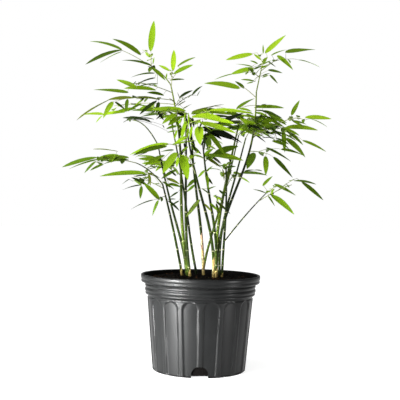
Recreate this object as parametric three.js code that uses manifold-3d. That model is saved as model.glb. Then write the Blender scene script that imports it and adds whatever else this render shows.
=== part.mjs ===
// A young clumping bamboo in a black fluted nursery pot.
// Millimetres, +Z up. The origin is the centre of the pot's flat underside, and -Y is the front.
// The pot stands by itself. Thin canes rise from the soil and lean outwards, thinner boughs leave
// them, and each mass of leaves grows from one stem that starts just clear of its cane or bough.

import * as THREE from 'three';
import { mergeVertices } from 'three/addons/utils/BufferGeometryUtils.js';
import Module from 'manifold-3d';

const wasm = await Module();
wasm.setup();

// Driving sizes
const clearance = 0.3; // left between two pieces that touch
const cleanWithin = 0.03; // corners of a joined spray nearer than this are merged
const pot = {
  height: 222, rimRadius: 140, lipHeight: 18, bandRadius: 129.3, bandFoot: 176,
  neckRadius: 121.6, neckZ: 171, bodyRadius: 123.6, bodyZ: 167, footRadius: 108.8,
  wall: 5.4, stepFoot: 173, stepTop: 184, bandWall: 3.2, lipWall: 6.6, floor: 5, sides: 32,
};
const panel = { count: 16, width: 37, top: 172, foot: 3, depth: 3.2 };
const notch = { count: 2, width: 38, height: 25.6, foot: -2, inner: 99, outer: 116 };
const soil = { level: 216, flatRadius: 104, edgeDrop: 7 };
const caneSides = 8;
const caneSteps = 6;
const boughSides = 5;
const boughSteps = 3;
const twigSides = 3;
const stemSteps = 2;

// Growth rule of a spray: where its twigs leave the stem, how its leaves fan out and droop
const growth = {
  firstTwig: 0.3, lastTwig: 0.86, twigShare: 0.52, twigAngle: 34, angleSpread: 12, twist: 25, lift: 0.03,
  leafStep: 10, fanStart: 14, fanStep: 9, fanSpread: 10, tipSpread: 6, shrink: 0.07,
  shortest: 0.8, lengthSpread: 0.34, widthShare: 0.185, widest: 0.36,
  thickShare: 0.0158, turnSpread: 55, bendLeast: 0.05, bendSpread: 0.13,
  stemRadius: 1.7, twigRadius: 1.5, tipRadius: 1.3, spaceShare: 1.3,
};

function rowsOf(fields, rows) {
  return rows.map((row) => Object.fromEntries(fields.map((field, i) => [field, row[i]])));
}

// Canes: foot on the soil, a point at half length, tip, how far the cane sways to the side below
// that point and back above it, and the diameters at both ends
const canes = rowsOf(['name', 'foot', 'half', 'tip', 'sway', 'thick'], [
  ['cane_left_front', [-44, 24], [-66, -24, 328], [-90, -80, 430], [0, 0], [5.4, 3.0]],
  ['cane_left_arching', [-34, 36], [-62, 66, 340], [-112, 110, 530], [3, 0], [6.0, 2.8]],
  ['cane_left_tall', [-30, 22], [-51, 34, 440], [-81, 50, 672], [-6, 0], [7.0, 2.6]],
  ['cane_left_inner', [-25, 6], [-38, -40, 400], [-40, -110, 588], [-2, 4], [6.2, 2.8]],
  ['cane_back_left', [-10, 72], [-38, 118, 370], [-84, 186, 600], [-2, -6], [5.6, 2.6]],
  ['cane_centre', [7, 46], [-12, 70, 400], [-31, 110, 597], [3, 0], [6.4, 2.8]],
  ['cane_back_right', [6, 90], [38, 132, 350], [92, 200, 566], [-3, -4], [5.6, 2.6]],
  ['cane_front_crossing', [30, -16], [5, -75, 380], [-39, -150, 558], [5, 4], [6.2, 2.8]],
  ['cane_front_inner', [37, -2], [23, -40, 370], [-2, -90, 526], [3, 0], [6.0, 2.8]],
  ['cane_right_green', [36, 15], [49, 28, 400], [85, 40, 580], [-2, 0], [7.0, 2.8]],
  ['cane_right_tall', [36, 34], [82, 12, 430], [121, -20, 650], [-12, 0], [6.2, 2.6]],
  ['cane_right_back', [46, 48], [64, 88, 390], [108, 150, 556], [-4, 0], [5.4, 2.8]],
  ['cane_right_front', [50, 2], [54, -40, 340], [51, -110, 470], [-1, 0], [5.2, 2.8]],
]);

// Main boughs: the cane each leaves, the share of its length where it does, tip, rise at the middle
const boughs = rowsOf(['name', 'on', 'at', 'tip', 'rise', 'thick'], [
  ['bough_top_left', 'cane_left_tall', 1, [-128, 42, 713], 6, [2.4, 1.8]],
  ['bough_top_right', 'cane_right_tall', 1, [132, -30, 709], 0, [2.4, 1.8]],
  ['bough_low_right', 'cane_right_front', 0.34, [140, -140, 415], 4, [2.8, 1.8]],
  ['bough_left_arch', 'cane_left_arching', 1, [-176, 120, 592], 14, [2.6, 1.8]],
  ['bough_far_left', 'cane_left_front', 1, [-150, -95, 476], 6, [2.6, 1.8]],
  ['bough_right_middle', 'cane_right_tall', 0.76, [178, 10, 582], 5, [2.6, 1.8]],
]);

// Masses of leaves: what carries the stem and where, the stem's tip, side twigs, leaves on each
// twig, leaf length, turn of the fan about the stem, and droop
const masses = rowsOf(['name', 'on', 'at', 'tip', 'twigs', 'leaves', 'blade', 'turn', 'sag'], [
  ['leaves_crown_left', 'bough_top_left', 1, [-129, 36, 744], 1, 1, 84, 0, 0.0],
  ['leaves_far_top_left', 'bough_top_left', 0.86, [-202, 66, 756], 0, 4, 92, 30, 0.35],
  ['leaves_top_left_low', 'bough_top_left', 0.6, [-136, 30, 712], 1, 2, 70, 20, 0.15],
  ['leaves_top_inner', 'cane_left_tall', 0.985, [-78, 26, 702], 2, 3, 50, 0, 0.0],
  ['leaves_left_high', 'cane_left_tall', 0.96, [-157, 14, 672], 2, 3, 56, 20, 0.1],
  ['leaves_left_shoulder', 'cane_left_tall', 0.92, [-159, -14, 629], 4, 3, 62, 10, 0.15],
  ['leaves_far_left_high', 'cane_left_tall', 0.9, [-222, 96, 624], 2, 3, 80, 10, 0.05],
  ['leaves_upper_middle', 'cane_left_tall', 0.89, [-38, 66, 648], 1, 3, 42, 40, 0.0],
  ['leaves_heart_high', 'cane_left_inner', 1, [-74, -146, 588], 2, 3, 72, 10, 0.05],
  ['leaves_heart_right', 'cane_centre', 1, [8, 92, 614], 2, 4, 98, 15, 0.08],
  ['leaves_crown_right', 'bough_top_right', 1, [134, -32, 724], 2, 2, 60, 0, 0.25],
  ['leaves_right_high', 'bough_top_right', 0.8, [172, -62, 724], 1, 3, 70, -30, 0.25],
  ['leaves_right_high_inner', 'bough_top_right', 0.55, [105, 4, 704], 2, 3, 62, -20, 0.3],
  ['leaves_right_branch', 'cane_right_tall', 0.97, [89, -40, 658], 0, 2, 96, 20, 0.0],
  ['leaves_right_upper', 'cane_right_tall', 0.93, [152, 26, 621], 1, 3, 64, 30, 0.1],
  ['leaves_right_heart', 'cane_right_green', 1, [143, 20, 596], 4, 3, 76, 10, 0.1],
  ['leaves_right_heart_low', 'cane_right_tall', 0.77, [160, -60, 561], 4, 4, 70, 15, 0.15],
  ['leaves_far_right_high', 'bough_right_middle', 1, [227, 4, 596], 2, 3, 60, 20, 0.15],
  ['leaves_far_right_low', 'bough_right_middle', 0.8, [220, -20, 547], 3, 3, 64, 10, 0.22],
  ['leaves_right_droop', 'cane_right_tall', 0.69, [148, -56, 504], 1, 3, 64, 60, 0.7],
  ['leaves_right_back', 'cane_right_back', 1, [136, 196, 601], 3, 3, 72, 10, 0.15],
  ['leaves_low_right_near', 'bough_low_right', 1, [154, -156, 423], 1, 4, 66, 50, 0.45],
  ['leaves_low_right_far', 'bough_low_right', 0.8, [188, -194, 432], 1, 3, 60, 40, 0.5],
  ['leaves_left_arch', 'cane_left_tall', 0.68, [-89, -16, 525], 0, 2, 98, 30, 0.05],
  ['leaves_far_left', 'bough_far_left', 1, [-227, -124, 484], 3, 3, 80, 10, 0.06],
  ['leaves_left_low', 'cane_left_front', 0.95, [-157, -58, 448], 2, 3, 82, 20, 0.12],
  ['leaves_left_lowest', 'cane_left_front', 0.86, [-101, -104, 396], 1, 3, 60, 40, 0.3],
  ['leaves_left_arch_tip', 'bough_left_arch', 1, [-190, 130, 598], 2, 3, 56, 10, 0.1],
  ['leaves_left_middle', 'cane_left_arching', 0.9, [-130, 92, 477], 2, 3, 60, 30, 0.12],
  ['leaves_front', 'cane_front_crossing', 0.71, [-40, -232, 494], 2, 3, 62, 0, 0.4],
  ['leaves_front_high', 'cane_front_crossing', 1, [-12, -190, 562], 2, 3, 62, 20, 0.3],
  ['leaves_centre_front', 'cane_front_inner', 1, [12, -132, 547], 3, 3, 72, 30, 0.3],
  ['leaves_centre_low', 'cane_front_inner', 0.86, [24, -62, 500], 1, 2, 74, 30, 0.15],
  ['leaves_lowest_middle', 'cane_right_green', 0.5, [30, -4, 406], 1, 2, 50, 30, 0.7],
  ['leaves_front_right', 'cane_right_front', 1, [60, -172, 479], 2, 3, 60, 20, 0.3],
  ['leaves_back_left', 'cane_back_left', 1, [-110, 232, 628], 4, 4, 72, 10, 0.15],
  ['leaves_back_right', 'cane_back_right', 1, [118, 244, 590], 4, 4, 72, 10, 0.15],
  ['leaves_back_left_low', 'cane_back_left', 0.7, [-96, 232, 492], 3, 3, 70, 20, 0.25],
  ['leaves_back_right_low', 'cane_back_right', 0.68, [84, 256, 468], 3, 3, 70, 20, 0.25],
]);

// Shared helpers
const up = new THREE.Vector3(0, 0, 1);

function vector(list) {
  return new THREE.Vector3(list[0], list[1], list[2]);
}

function radians(degrees) {
  return degrees * Math.PI / 180;
}

// The part of one direction that is square to another, as a unit vector
function squareTo(direction, axis) {
  return direction.clone().addScaledVector(axis, -direction.dot(axis)).normalize();
}

// Turns a vector about a unit axis
function turned(direction, axis, degrees) {
  return direction.clone().applyAxisAngle(axis, radians(degrees));
}

function solidOf(geometry) {
  const bare = geometry.clone();
  bare.deleteAttribute('normal');
  bare.deleteAttribute('uv');
  const merged = mergeVertices(bare, 1e-4);
  return new wasm.Manifold(new wasm.Mesh({
    numProp: 3,
    vertProperties: new Float32Array(merged.attributes.position.array),
    triVerts: new Uint32Array(merged.index.array),
  }));
}

function geometryOf(solid) {
  const mesh = solid.getMesh();
  const geometry = new THREE.BufferGeometry();
  geometry.setAttribute('position', new THREE.BufferAttribute(mesh.vertProperties, 3));
  geometry.setIndex(new THREE.BufferAttribute(mesh.triVerts, 1));
  geometry.computeVertexNormals();
  return geometry;
}

// Joins the solids, keeps the largest body if a loose scrap is left, and clears tiny edges
function joined(solids) {
  const whole = solids.reduce((sum, solid) => sum.add(solid));
  const bodies = whole.decompose();
  const largest = bodies.reduce((best, body) => (body.volume() > best.volume() ? body : best));
  return largest.asOriginal().simplify(cleanWithin);
}

// A curve through a root, a point at half length and a tip, which sways one way and back
class LimbCurve extends THREE.Curve {
  constructor(root, half, tip, sway) {
    super();
    this.root = root;
    this.half = half;
    this.tip = tip;
    this.sway = sway;
  }

  getPoint(t) {
    return this.root.clone().multiplyScalar((1 - t) * (1 - 2 * t))
      .addScaledVector(this.half, 4 * t * (1 - t))
      .addScaledVector(this.tip, t * (2 * t - 1))
      .addScaledVector(this.sway, Math.sin(2 * Math.PI * t));
  }
}

// A tapering limb: a cylinder whose rings are set square to the curve, with one corner of each
// ring turned towards a given side
function limbGeometry(curve, rootRadius, tipRadius, sides, steps, side, flatRoot) {
  const geometry = new THREE.CylinderGeometry(1, 1, 1, sides, steps);
  const position = geometry.attributes.position;
  for (let i = 0; i < position.count; i += 1) {
    const t = THREE.MathUtils.clamp(position.getY(i) + 0.5, 0, 1);
    const along = flatRoot && t === 0 ? up : curve.getTangent(t);
    const corner = squareTo(side, along);
    const across = new THREE.Vector3().crossVectors(corner, along);
    const radius = THREE.MathUtils.lerp(rootRadius, tipRadius, t);
    const place = curve.getPoint(t)
      .addScaledVector(corner, position.getZ(i) * radius)
      .addScaledVector(across, -position.getX(i) * radius);
    position.setXYZ(i, place.x, place.y, place.z);
  }
  return geometry;
}

// The pot: a turned wall with a rolled lip and a stepped band, fluted by sunk arched panels,
// with an arched drain notch at the foot of the front rib and of the back rib
function archShape(width, foot, top) {
  const half = width / 2;
  const shape = new THREE.Shape();
  shape.moveTo(-half, foot);
  shape.lineTo(half, foot);
  shape.lineTo(half, top - half);
  shape.absarc(0, top - half, half, 0, Math.PI, false);
  return shape;
}

// An arch that stands square to a ray from the axis, from one radius out to another
function archCutter(width, foot, top, inner, outer, degrees, lean) {
  const geometry = new THREE.ExtrudeGeometry(archShape(width, foot, top), {
    depth: outer - inner, bevelEnabled: false, curveSegments: 5,
  });
  geometry.rotateX(Math.PI / 2);
  geometry.translate(0, -inner, 0);
  const position = geometry.attributes.position;
  for (let i = 0; i < position.count; i += 1) {
    position.setY(i, position.getY(i) - lean * position.getZ(i));
  }
  geometry.rotateZ(radians(degrees));
  return solidOf(geometry);
}

function turnedSolid(profile) {
  const points = profile.map(([radius, z]) => new THREE.Vector2(radius, z));
  const geometry = new THREE.LatheGeometry(points, pot.sides);
  geometry.rotateX(Math.PI / 2);
  return solidOf(geometry);
}

const wallLean = (pot.bodyRadius - pot.footRadius) / pot.bodyZ;

function outerRadiusAt(z) {
  return pot.footRadius + wallLean * z;
}

const lipFoot = pot.height - pot.lipHeight;

// The inner face of the wall from the floor up to a height inside the lip, drawn in by a gap
function innerProfile(gap, top) {
  const rise = (top - lipFoot) / pot.lipHeight;
  const band = pot.bandRadius - pot.bandWall;
  return [
    [outerRadiusAt(pot.floor) - pot.wall - gap, pot.floor + gap],
    [outerRadiusAt(pot.bodyZ) - pot.wall - gap, pot.stepFoot],
    [band - gap, pot.stepTop], [band - gap, lipFoot],
    [THREE.MathUtils.lerp(band, pot.rimRadius - pot.lipWall, rise) - gap, top],
  ];
}

function makePot() {
  const outside = turnedSolid([
    [0, 0], [pot.footRadius - 1.5, 0], [pot.footRadius, 1.5], [pot.bodyRadius, pot.bodyZ],
    [pot.neckRadius, pot.neckZ], [pot.bandRadius - 2.6, pot.bandFoot - 0.5],
    [pot.bandRadius, pot.bandFoot + 3], [pot.bandRadius, lipFoot - 3.5],
    [pot.rimRadius - 3.4, lipFoot], [pot.rimRadius, lipFoot + 4], [pot.rimRadius, pot.height - 5],
    [pot.rimRadius - 1.6, pot.height - 1], [pot.rimRadius - 3.6, pot.height], [0, pot.height],
  ]);
  const mouth = pot.height + 1;
  const inside = turnedSolid([[0, pot.floor], ...innerProfile(0, mouth), [0, mouth]]);
  let wall = outside.subtract(inside);
  const panelFloor = pot.footRadius - panel.depth;
  for (let i = 0; i < panel.count; i += 1) {
    const degrees = (i + 0.5) * 360 / panel.count;
    wall = wall.subtract(archCutter(panel.width, panel.foot, panel.top, panelFloor,
      panelFloor + 12, degrees, wallLean));
  }
  for (let i = 0; i < notch.count; i += 1) {
    wall = wall.subtract(archCutter(notch.width, notch.foot, notch.height, notch.inner,
      notch.outer, i * 360 / notch.count, 0));
  }
  return geometryOf(wall);
}

// The soil fills the pot to just under the lip
function makeSoil() {
  const gap = clearance * 1.3;
  return geometryOf(turnedSolid([
    [0, pot.floor + gap], ...innerProfile(gap, soil.level - soil.edgeDrop),
    [soil.flatRadius, soil.level], [0, soil.level],
  ]));
}

// Limbs by name, so that what grows on them can find its place
const limbs = new Map();

function keepLimb(limb, curve, steps) {
  limbs.set(limb.name, { curve, thick: limb.thick, steps });
}

// The axis of a limb between its rings, where it runs straight from one ring to the next
function axisOf(limb, at) {
  const ring = Math.min(Math.floor(at * limb.steps), limb.steps - 1);
  const from = limb.curve.getPoint(ring / limb.steps);
  const to = limb.curve.getPoint((ring + 1) / limb.steps);
  const along = at === 1 ? limb.curve.getTangent(1) : to.clone().sub(from).normalize();
  return { point: from.lerp(to, at * limb.steps - ring), along };
}

function makeCane(cane) {
  const foot = new THREE.Vector3(cane.foot[0], cane.foot[1], soil.level + clearance);
  const sway = new THREE.Vector3(cane.sway[0], cane.sway[1], 0);
  const curve = new LimbCurve(foot, vector(cane.half), vector(cane.tip), sway);
  keepLimb(cane, curve, caneSteps);
  return limbGeometry(curve, cane.thick[0] / 2, cane.thick[1] / 2, caneSides, caneSteps,
    new THREE.Vector3(0, -1, 0), true);
}

// Where a limb of a given radius starts, just clear of what carries it, on its way to a tip.
// The side returned is where the starting ring comes nearest to the carrier.
function startOn(on, at, tip, radius) {
  const carrier = limbs.get(on);
  const { point: axisPoint, along } = axisOf(carrier, at);
  const towards = tip.clone().sub(axisPoint).normalize();
  const cosine = towards.dot(along);
  const sine = Math.sqrt(1 - cosine * cosine);
  if (at === 1) {
    const start = axisPoint.addScaledVector(along, clearance + radius * sine);
    return { start, side: squareTo(along.clone().negate(), tip.clone().sub(start).normalize()) };
  }
  const carrierRadius = THREE.MathUtils.lerp(carrier.thick[0], carrier.thick[1], at) / 2;
  const away = (carrierRadius + clearance + radius * Math.abs(cosine)) / sine;
  const outward = squareTo(towards, along);
  return {
    start: axisPoint.addScaledVector(towards, away),
    side: squareTo(outward.negate(), towards),
  };
}

function curveTo(start, tip, rise) {
  const half = start.clone().lerp(tip, 0.5).addScaledVector(up, rise);
  return new LimbCurve(start, half, tip, new THREE.Vector3());
}

function makeBough(bough) {
  const tip = vector(bough.tip);
  const { start, side } = startOn(bough.on, bough.at, tip, bough.thick[0] / 2);
  const curve = curveTo(start, tip, bough.rise);
  keepLimb(bough, curve, boughSteps);
  return limbGeometry(curve, bough.thick[0] / 2, bough.thick[1] / 2, boughSides, boughSteps, side, false);
}

// A counting draw, so that a seed always grows the same spray
function drawsFrom(seed) {
  let state = seed * 7919 + 104729;
  return () => {
    state = (state * 1664525 + 1013904223) % 4294967296;
    return state / 4294967296;
  };
}

// Sets out one spray: its stem, its side twigs, and the fan of leaves at the end of each
function growSpray(mass, seed) {
  const draw = drawsFrom(seed);
  const centred = () => draw() * 2 - 1;
  const tip = vector(mass.tip);
  const { start, side } = startOn(mass.on, mass.at, tip, growth.stemRadius);
  const reach = start.distanceTo(tip);
  const stem = { curve: curveTo(start, tip, reach * growth.lift), side, leaves: [] };
  const heading = stem.curve.getTangent(1);
  const reference = Math.abs(heading.z) > 0.9 ? new THREE.Vector3(0, -1, 0) : up;
  const fanNormal = turned(squareTo(reference, heading), heading, mass.turn);
  const twigs = [];
  for (let i = 0; i < mass.twigs; i += 1) {
    const share = THREE.MathUtils.lerp(growth.firstTwig, growth.lastTwig,
      (i + 0.5 + 0.3 * centred()) / mass.twigs);
    const sign = i % 2 === 0 ? 1 : -1;
    const angle = growth.twigAngle + growth.angleSpread * centred();
    const length = Math.max(growth.twigShare * reach * (0.85 + 0.4 * draw()),
      growth.leafStep * mass.leaves + 6);
    const along = stem.curve.getTangent(share);
    const normal = turned(squareTo(fanNormal, along), along, growth.twist * centred());
    const way = turned(along, normal, sign * angle);
    const foot = stem.curve.getPoint(share);
    const end = foot.clone().addScaledVector(way, length);
    twigs.push({ foot, end, way, normal: squareTo(normal, way), leaves: [] });
  }
  growFan(stem.leaves, tip, heading, fanNormal, mass, draw);
  twigs.forEach((twig) => growFan(twig.leaves, twig.end, twig.way, twig.normal, mass, draw));
  const centre = start.clone().lerp(tip, 0.5);
  const spaceRadius = reach * 0.5 + mass.blade * growth.spaceShare;
  return { stem, twigs, centre, spaceRadius };
}

function growFan(leaves, end, way, normal, mass, draw) {
  const centred = () => draw() * 2 - 1;
  for (let j = 0; j < mass.leaves; j += 1) {
    const sign = j % 2 === 0 ? 1 : -1;
    const spread = j === 0 ? growth.tipSpread * centred()
      : growth.fanStart + growth.fanStep * j + growth.fanSpread * centred();
    const length = mass.blade * (1 - growth.shrink * j) * (growth.shortest + growth.lengthSpread * draw());
    const heading = turned(way, normal, sign * spread);
    heading.addScaledVector(up, -mass.sag * (0.4 + 1.2 * draw())).normalize();
    const face = turned(squareTo(normal, heading), heading, growth.turnSpread * centred());
    const bend = growth.bendLeast + growth.bendSpread * draw();
    const root = end.clone().addScaledVector(way, -1.5 - growth.leafStep * j);
    leaves.push({ root, heading, face, length, bend });
  }
}

// A leaf of six faces: an upright root edge, two wide corners and a drooping tip.
// With spare above nothing it is grown all round, to test for room.
function leafSolid(leaf, spare) {
  const across = new THREE.Vector3().crossVectors(leaf.heading, leaf.face);
  const half = leaf.length * growth.widthShare / 2 + spare;
  const halfThick = leaf.length * growth.thickShare / 2 + spare;
  const wide = leaf.root.clone().addScaledVector(leaf.heading, leaf.length * growth.widest);
  const tip = leaf.root.clone().addScaledVector(leaf.heading, leaf.length + spare)
    .addScaledVector(up, -leaf.bend * leaf.length);
  const corners = [
    leaf.root.clone().addScaledVector(leaf.face, halfThick),
    leaf.root.clone().addScaledVector(leaf.face, -halfThick),
    wide.clone().addScaledVector(across, half),
    wide.clone().addScaledVector(across, -half),
    tip,
  ];
  const geometry = new THREE.BufferGeometry();
  const places = corners.flatMap((corner) => corner.toArray());
  geometry.setAttribute('position', new THREE.Float32BufferAttribute(places, 3));
  geometry.setIndex([0, 2, 4, 0, 4, 3, 1, 4, 2, 1, 3, 4, 0, 1, 2, 0, 3, 1]);
  return solidOf(geometry);
}

function twigSolid(twig, spare) {
  const curve = curveTo(twig.foot, twig.end, 0);
  return solidOf(limbGeometry(curve, growth.twigRadius + spare, growth.tipRadius + spare, twigSides, 1,
    twig.normal, false));
}

// Solids that a new twig or leaf has to keep clear of, apart from those of its own mass
const taken = [];

function meets(solid, owner) {
  const box = solid.boundingBox();
  return taken.some((other) => {
    const apart = [0, 1, 2].some((k) => box.min[k] > other.box.max[k] || box.max[k] < other.box.min[k]);
    return other.owner !== owner && !apart && !solid.intersect(other.solid).isEmpty();
  });
}

function keepClear(solid, owner) {
  taken.push({ solid, owner, box: solid.boundingBox() });
}

// A spray and the solid of its stem, which the leaves of every other mass keep clear of
function plantSpray(mass, seed) {
  const spray = growSpray(mass, seed);
  const { curve, side } = spray.stem;
  const stem = solidOf(limbGeometry(curve, growth.stemRadius, growth.tipRadius, twigSides, stemSteps,
    side, false));
  keepClear(stem, mass.name);
  return { mass, spray, stem };
}

// One mass of leaves: twigs and leaves that leave its space or touch another piece are skipped
function makeMass({ mass, spray, stem }) {
  const parts = [stem];
  const addLeaves = (leaves) => leaves.forEach((leaf) => {
    const end = leaf.root.clone().addScaledVector(leaf.heading, leaf.length);
    const inside = end.distanceTo(spray.centre) < spray.spaceRadius;
    if (inside && !meets(leafSolid(leaf, clearance), mass.name)) {
      parts.push(leafSolid(leaf, 0));
    }
  });
  addLeaves(spray.stem.leaves);
  spray.twigs.forEach((twig) => {
    if (!meets(twigSolid(twig, clearance), mass.name)) {
      parts.push(twigSolid(twig, 0));
      addLeaves(twig.leaves);
    }
  });
  const solid = joined(parts);
  keepClear(solid, mass.name);
  return geometryOf(solid);
}

// Colours and finish of each kind of piece
const finishes = {
  pot: { color: 0x26282a, roughness: 0.42, metalness: 0 },
  soil: { color: 0x1b1410, roughness: 0.95, metalness: 0 },
  cane: { color: 0x26300f, roughness: 0.4, metalness: 0 },
  bough: { color: 0x3a4420, roughness: 0.5, metalness: 0 },
  leaves: { color: 0x6f9a1c, roughness: 0.5, metalness: 0 },
};

const plant = new THREE.Group();

function addPiece(name, geometry, finish) {
  const piece = new THREE.Mesh(geometry, new THREE.MeshStandardMaterial(finishes[finish]));
  piece.name = name;
  plant.add(piece);
}

addPiece('pot', makePot(), 'pot');
addPiece('soil', makeSoil(), 'soil');
[[canes, makeCane, 'cane'], [boughs, makeBough, 'bough']].forEach(([list, make, finish]) => {
  list.forEach((limb) => {
    const geometry = make(limb);
    keepClear(solidOf(geometry), limb.name);
    addPiece(limb.name, geometry, finish);
  });
});
const planted = masses.map((mass, i) => plantSpray(mass, i + 1));
planted.forEach((spray) => addPiece(spray.mass.name, makeMass(spray), 'leaves'));

export default plant;
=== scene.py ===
import math

import bmesh
import bpy
import numpy
from mathutils import Matrix, Vector, noise


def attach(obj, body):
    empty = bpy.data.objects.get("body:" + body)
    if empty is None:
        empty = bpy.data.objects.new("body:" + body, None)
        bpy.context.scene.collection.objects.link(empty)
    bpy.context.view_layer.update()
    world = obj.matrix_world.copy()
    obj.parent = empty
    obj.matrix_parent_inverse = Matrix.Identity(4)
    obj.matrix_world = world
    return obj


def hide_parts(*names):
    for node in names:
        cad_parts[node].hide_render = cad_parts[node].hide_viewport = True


# A young clumping bamboo in a black fluted nursery pot. Sizes are in millimetres while a piece
# is being made, and the finished meshes are in metres.
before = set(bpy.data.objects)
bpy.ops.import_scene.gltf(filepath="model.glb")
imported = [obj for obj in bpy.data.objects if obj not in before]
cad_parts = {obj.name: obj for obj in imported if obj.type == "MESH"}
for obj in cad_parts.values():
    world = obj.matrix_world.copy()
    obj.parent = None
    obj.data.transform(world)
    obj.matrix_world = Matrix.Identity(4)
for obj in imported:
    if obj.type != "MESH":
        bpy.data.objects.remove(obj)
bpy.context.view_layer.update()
up, toFront = Vector((0, 0, 1)), Vector((0, -1, 0))
scene = bpy.context.scene
toMetres = 0.001
white = (1, 1, 1, 1)


class Value:
    # An output of a node, with overloaded operators, so that sums on it read as sums
    def __init__(self, nodes, socket):
        self.nodes = nodes
        self.socket = socket

    def maths(self, operation, *terms):
        return self.nodes.node("ShaderNodeMath", {"operation": operation}, dict(enumerate(terms)))

    def __add__(self, other):
        return self.maths("ADD", self, other)

    def __radd__(self, other):
        return self.maths("ADD", other, self)

    def __sub__(self, other):
        return self.maths("SUBTRACT", self, other)

    def __rsub__(self, other):
        return self.maths("SUBTRACT", other, self)

    def __mul__(self, other):
        return self.maths("MULTIPLY", self, other)

    def __rmul__(self, other):
        return self.maths("MULTIPLY", other, self)


class NodeTree:
    # Makes nodes, and feeds the one that stands at the end of them
    def __init__(self, tree, end):
        self.tree = tree
        self.end = tree.nodes[end]

    def node(self, kind, settings=None, values=None, output=0):
        # One new node: its settings first, then what its sockets hold or are linked to
        made = self.tree.nodes.new(kind)
        for key, value in (settings or {}).items():
            if key == "stops":
                self.setStops(made.color_ramp, value)
            else:
                setattr(made, key, value)
        for key, value in (values or {}).items():
            if isinstance(value, Value):
                self.tree.links.new(value.socket, made.inputs[key])
            else:
                made.inputs[key].default_value = value
        return Value(self, made.outputs[output])

    def setStops(self, ramp, stops):
        while len(ramp.elements) < len(stops):
            ramp.elements.new(0.5)
        for element, (place, shade) in zip(ramp.elements, stops):
            element.position = place
            element.color = (shade, shade, shade, 1)

    def feed(self, socket, value):
        self.tree.links.new(value.socket, self.end.inputs[socket])


class Shader(NodeTree):
    # A material on its Principled shader, whose fixed sockets are set by name
    def __init__(self, name, **fixed):
        self.material = bpy.data.materials.new(name)
        self.material.use_nodes = True
        super().__init__(self.material.node_tree, "Principled BSDF")
        for socket, value in fixed.items():
            self.end.inputs[socket.replace("_", " ")].default_value = value

    def coordinates(self, kind="Object"):
        return self.node("ShaderNodeTexCoord", output=kind)

    def stretched(self, scale, kind="Object"):
        values = {"Vector": self.coordinates(kind), "Scale": scale}
        return self.node("ShaderNodeMapping", {}, values)

    def grain(self, scale, detail=3.0, roughness=0.55, vector=None):
        values = {"Vector": vector or self.coordinates(), "Scale": scale, "Detail": detail}
        values["Roughness"] = roughness
        return self.node("ShaderNodeTexNoise", {}, values)

    def ramp(self, value, *stops):
        return self.node("ShaderNodeValToRGB", {"stops": stops}, {"Fac": value})

    def blend(self, factor, first, second):
        # Sockets 6 and 7 of a Mix node take its two colours, and output 2 gives one
        colours = {"Factor": factor, 6: self.colour(first), 7: self.colour(second)}
        return self.node("ShaderNodeMix", {"data_type": "RGBA"}, colours, output=2)

    def colour(self, value):
        return value if isinstance(value, Value) else (*value, 1)

    def bump(self, height, strength, distance):
        values = {"Height": height, "Strength": strength, "Distance": distance}
        self.feed("Normal", self.node("ShaderNodeBump", {}, values))


softStops = ((0.35, 0.0), (0.7, 1.0))  # stops that spread the middle of a noise from 0 to 1


def makePotPlastic():
    look = dict(dark=(0.0028, 0.0030, 0.0030), worn=(0.0055, 0.0057, 0.0058),
                dust=(0.018, 0.017, 0.015))
    shader = Shader("potPlastic", Specular_IOR_Level=0.12)
    cloud = shader.ramp(shader.grain(9.0, 4.0), *softStops)
    upright = shader.stretched((1, 1, 0.06))
    streaks = shader.ramp(shader.grain(60.0, vector=upright), (0.45, 0.0), (0.75, 1.0))
    base = shader.blend(cloud * 0.5 + streaks * 0.25, look["dark"], look["worn"])
    specks = shader.ramp(shader.grain(420.0, 2.0), (0.66, 0.0), (0.76, 1.0))
    shader.feed("Base Color", shader.blend(specks * 0.25, base, look["dust"]))
    shader.feed("Roughness", 0.33 + 0.06 * cloud + 0.06 * specks)
    shader.bump(shader.grain(900.0, 2.0) * 0.5 + shader.grain(120.0, 2.0), 0.06, 0.0004)
    return shader.material


def makeShadedPotInside():
    # The rim inside: dull, with stains of dried mix, and painted darker than the outer plastic as painted
    # shade in the pot's mouth
    shader = Shader("shadedPotInside", Specular_IOR_Level=0.04)
    stain = shader.ramp(shader.grain(80.0, 4.0), *softStops)
    shader.feed("Base Color", shader.blend(stain, (0.001, 0.001, 0.001), (0.004, 0.003, 0.0025)))
    shader.feed("Roughness", 0.6 + 0.3 * stain)
    shader.bump(stain, 0.1, 0.0004)
    return shader.material


def makeSoilMix():
    look = dict(wetAndShaded=(0.0008, 0.0006, 0.0005), damp=(0.0028, 0.0017, 0.0012),
                fibre=(0.04, 0.016, 0.006))
    shader = Shader("soilMix", Roughness=0.95, Specular_IOR_Level=0.04)
    lumps = shader.ramp(shader.grain(140.0, 6.0, 0.7), (0.35, 0.0), (0.72, 1.0))
    flecks = shader.ramp(shader.grain(420.0), (0.62, 0.0), (0.7, 1.0))
    # The mix is painted black low in the pot, where the notches show it, as painted shade, and turns to its
    # own damp brown and fibres towards the top
    height = shader.node("ShaderNodeSeparateXYZ", {}, {"Vector": shader.coordinates()}, output=2)
    # The top mask is that painted shade, from 0 low in the pot to 1 near its surface
    top = shader.ramp(height, (0.03, 0.0), (0.19, 1.0))
    base = shader.blend(lumps * top, look["wetAndShaded"], look["damp"])
    shader.feed("Base Color", shader.blend(flecks * 0.4 * top, base, look["fibre"]))
    shader.bump(shader.grain(260.0, 6.0, 0.75) + lumps * 0.6, 0.9, 0.002)
    return shader.material


def makeBarkChip(name, dark, pale):
    shader = Shader(name, Roughness=0.88, Specular_IOR_Level=0.05)
    drawn = shader.stretched((1, 0.25, 1))
    fibres = shader.ramp(shader.grain(300.0, 4.0, vector=drawn), (0.35, 0.0), (0.75, 1.0))
    shader.feed("Base Color", shader.blend(fibres, dark, pale))
    shader.bump(fibres, 0.5, 0.0006)
    return shader.material


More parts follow.
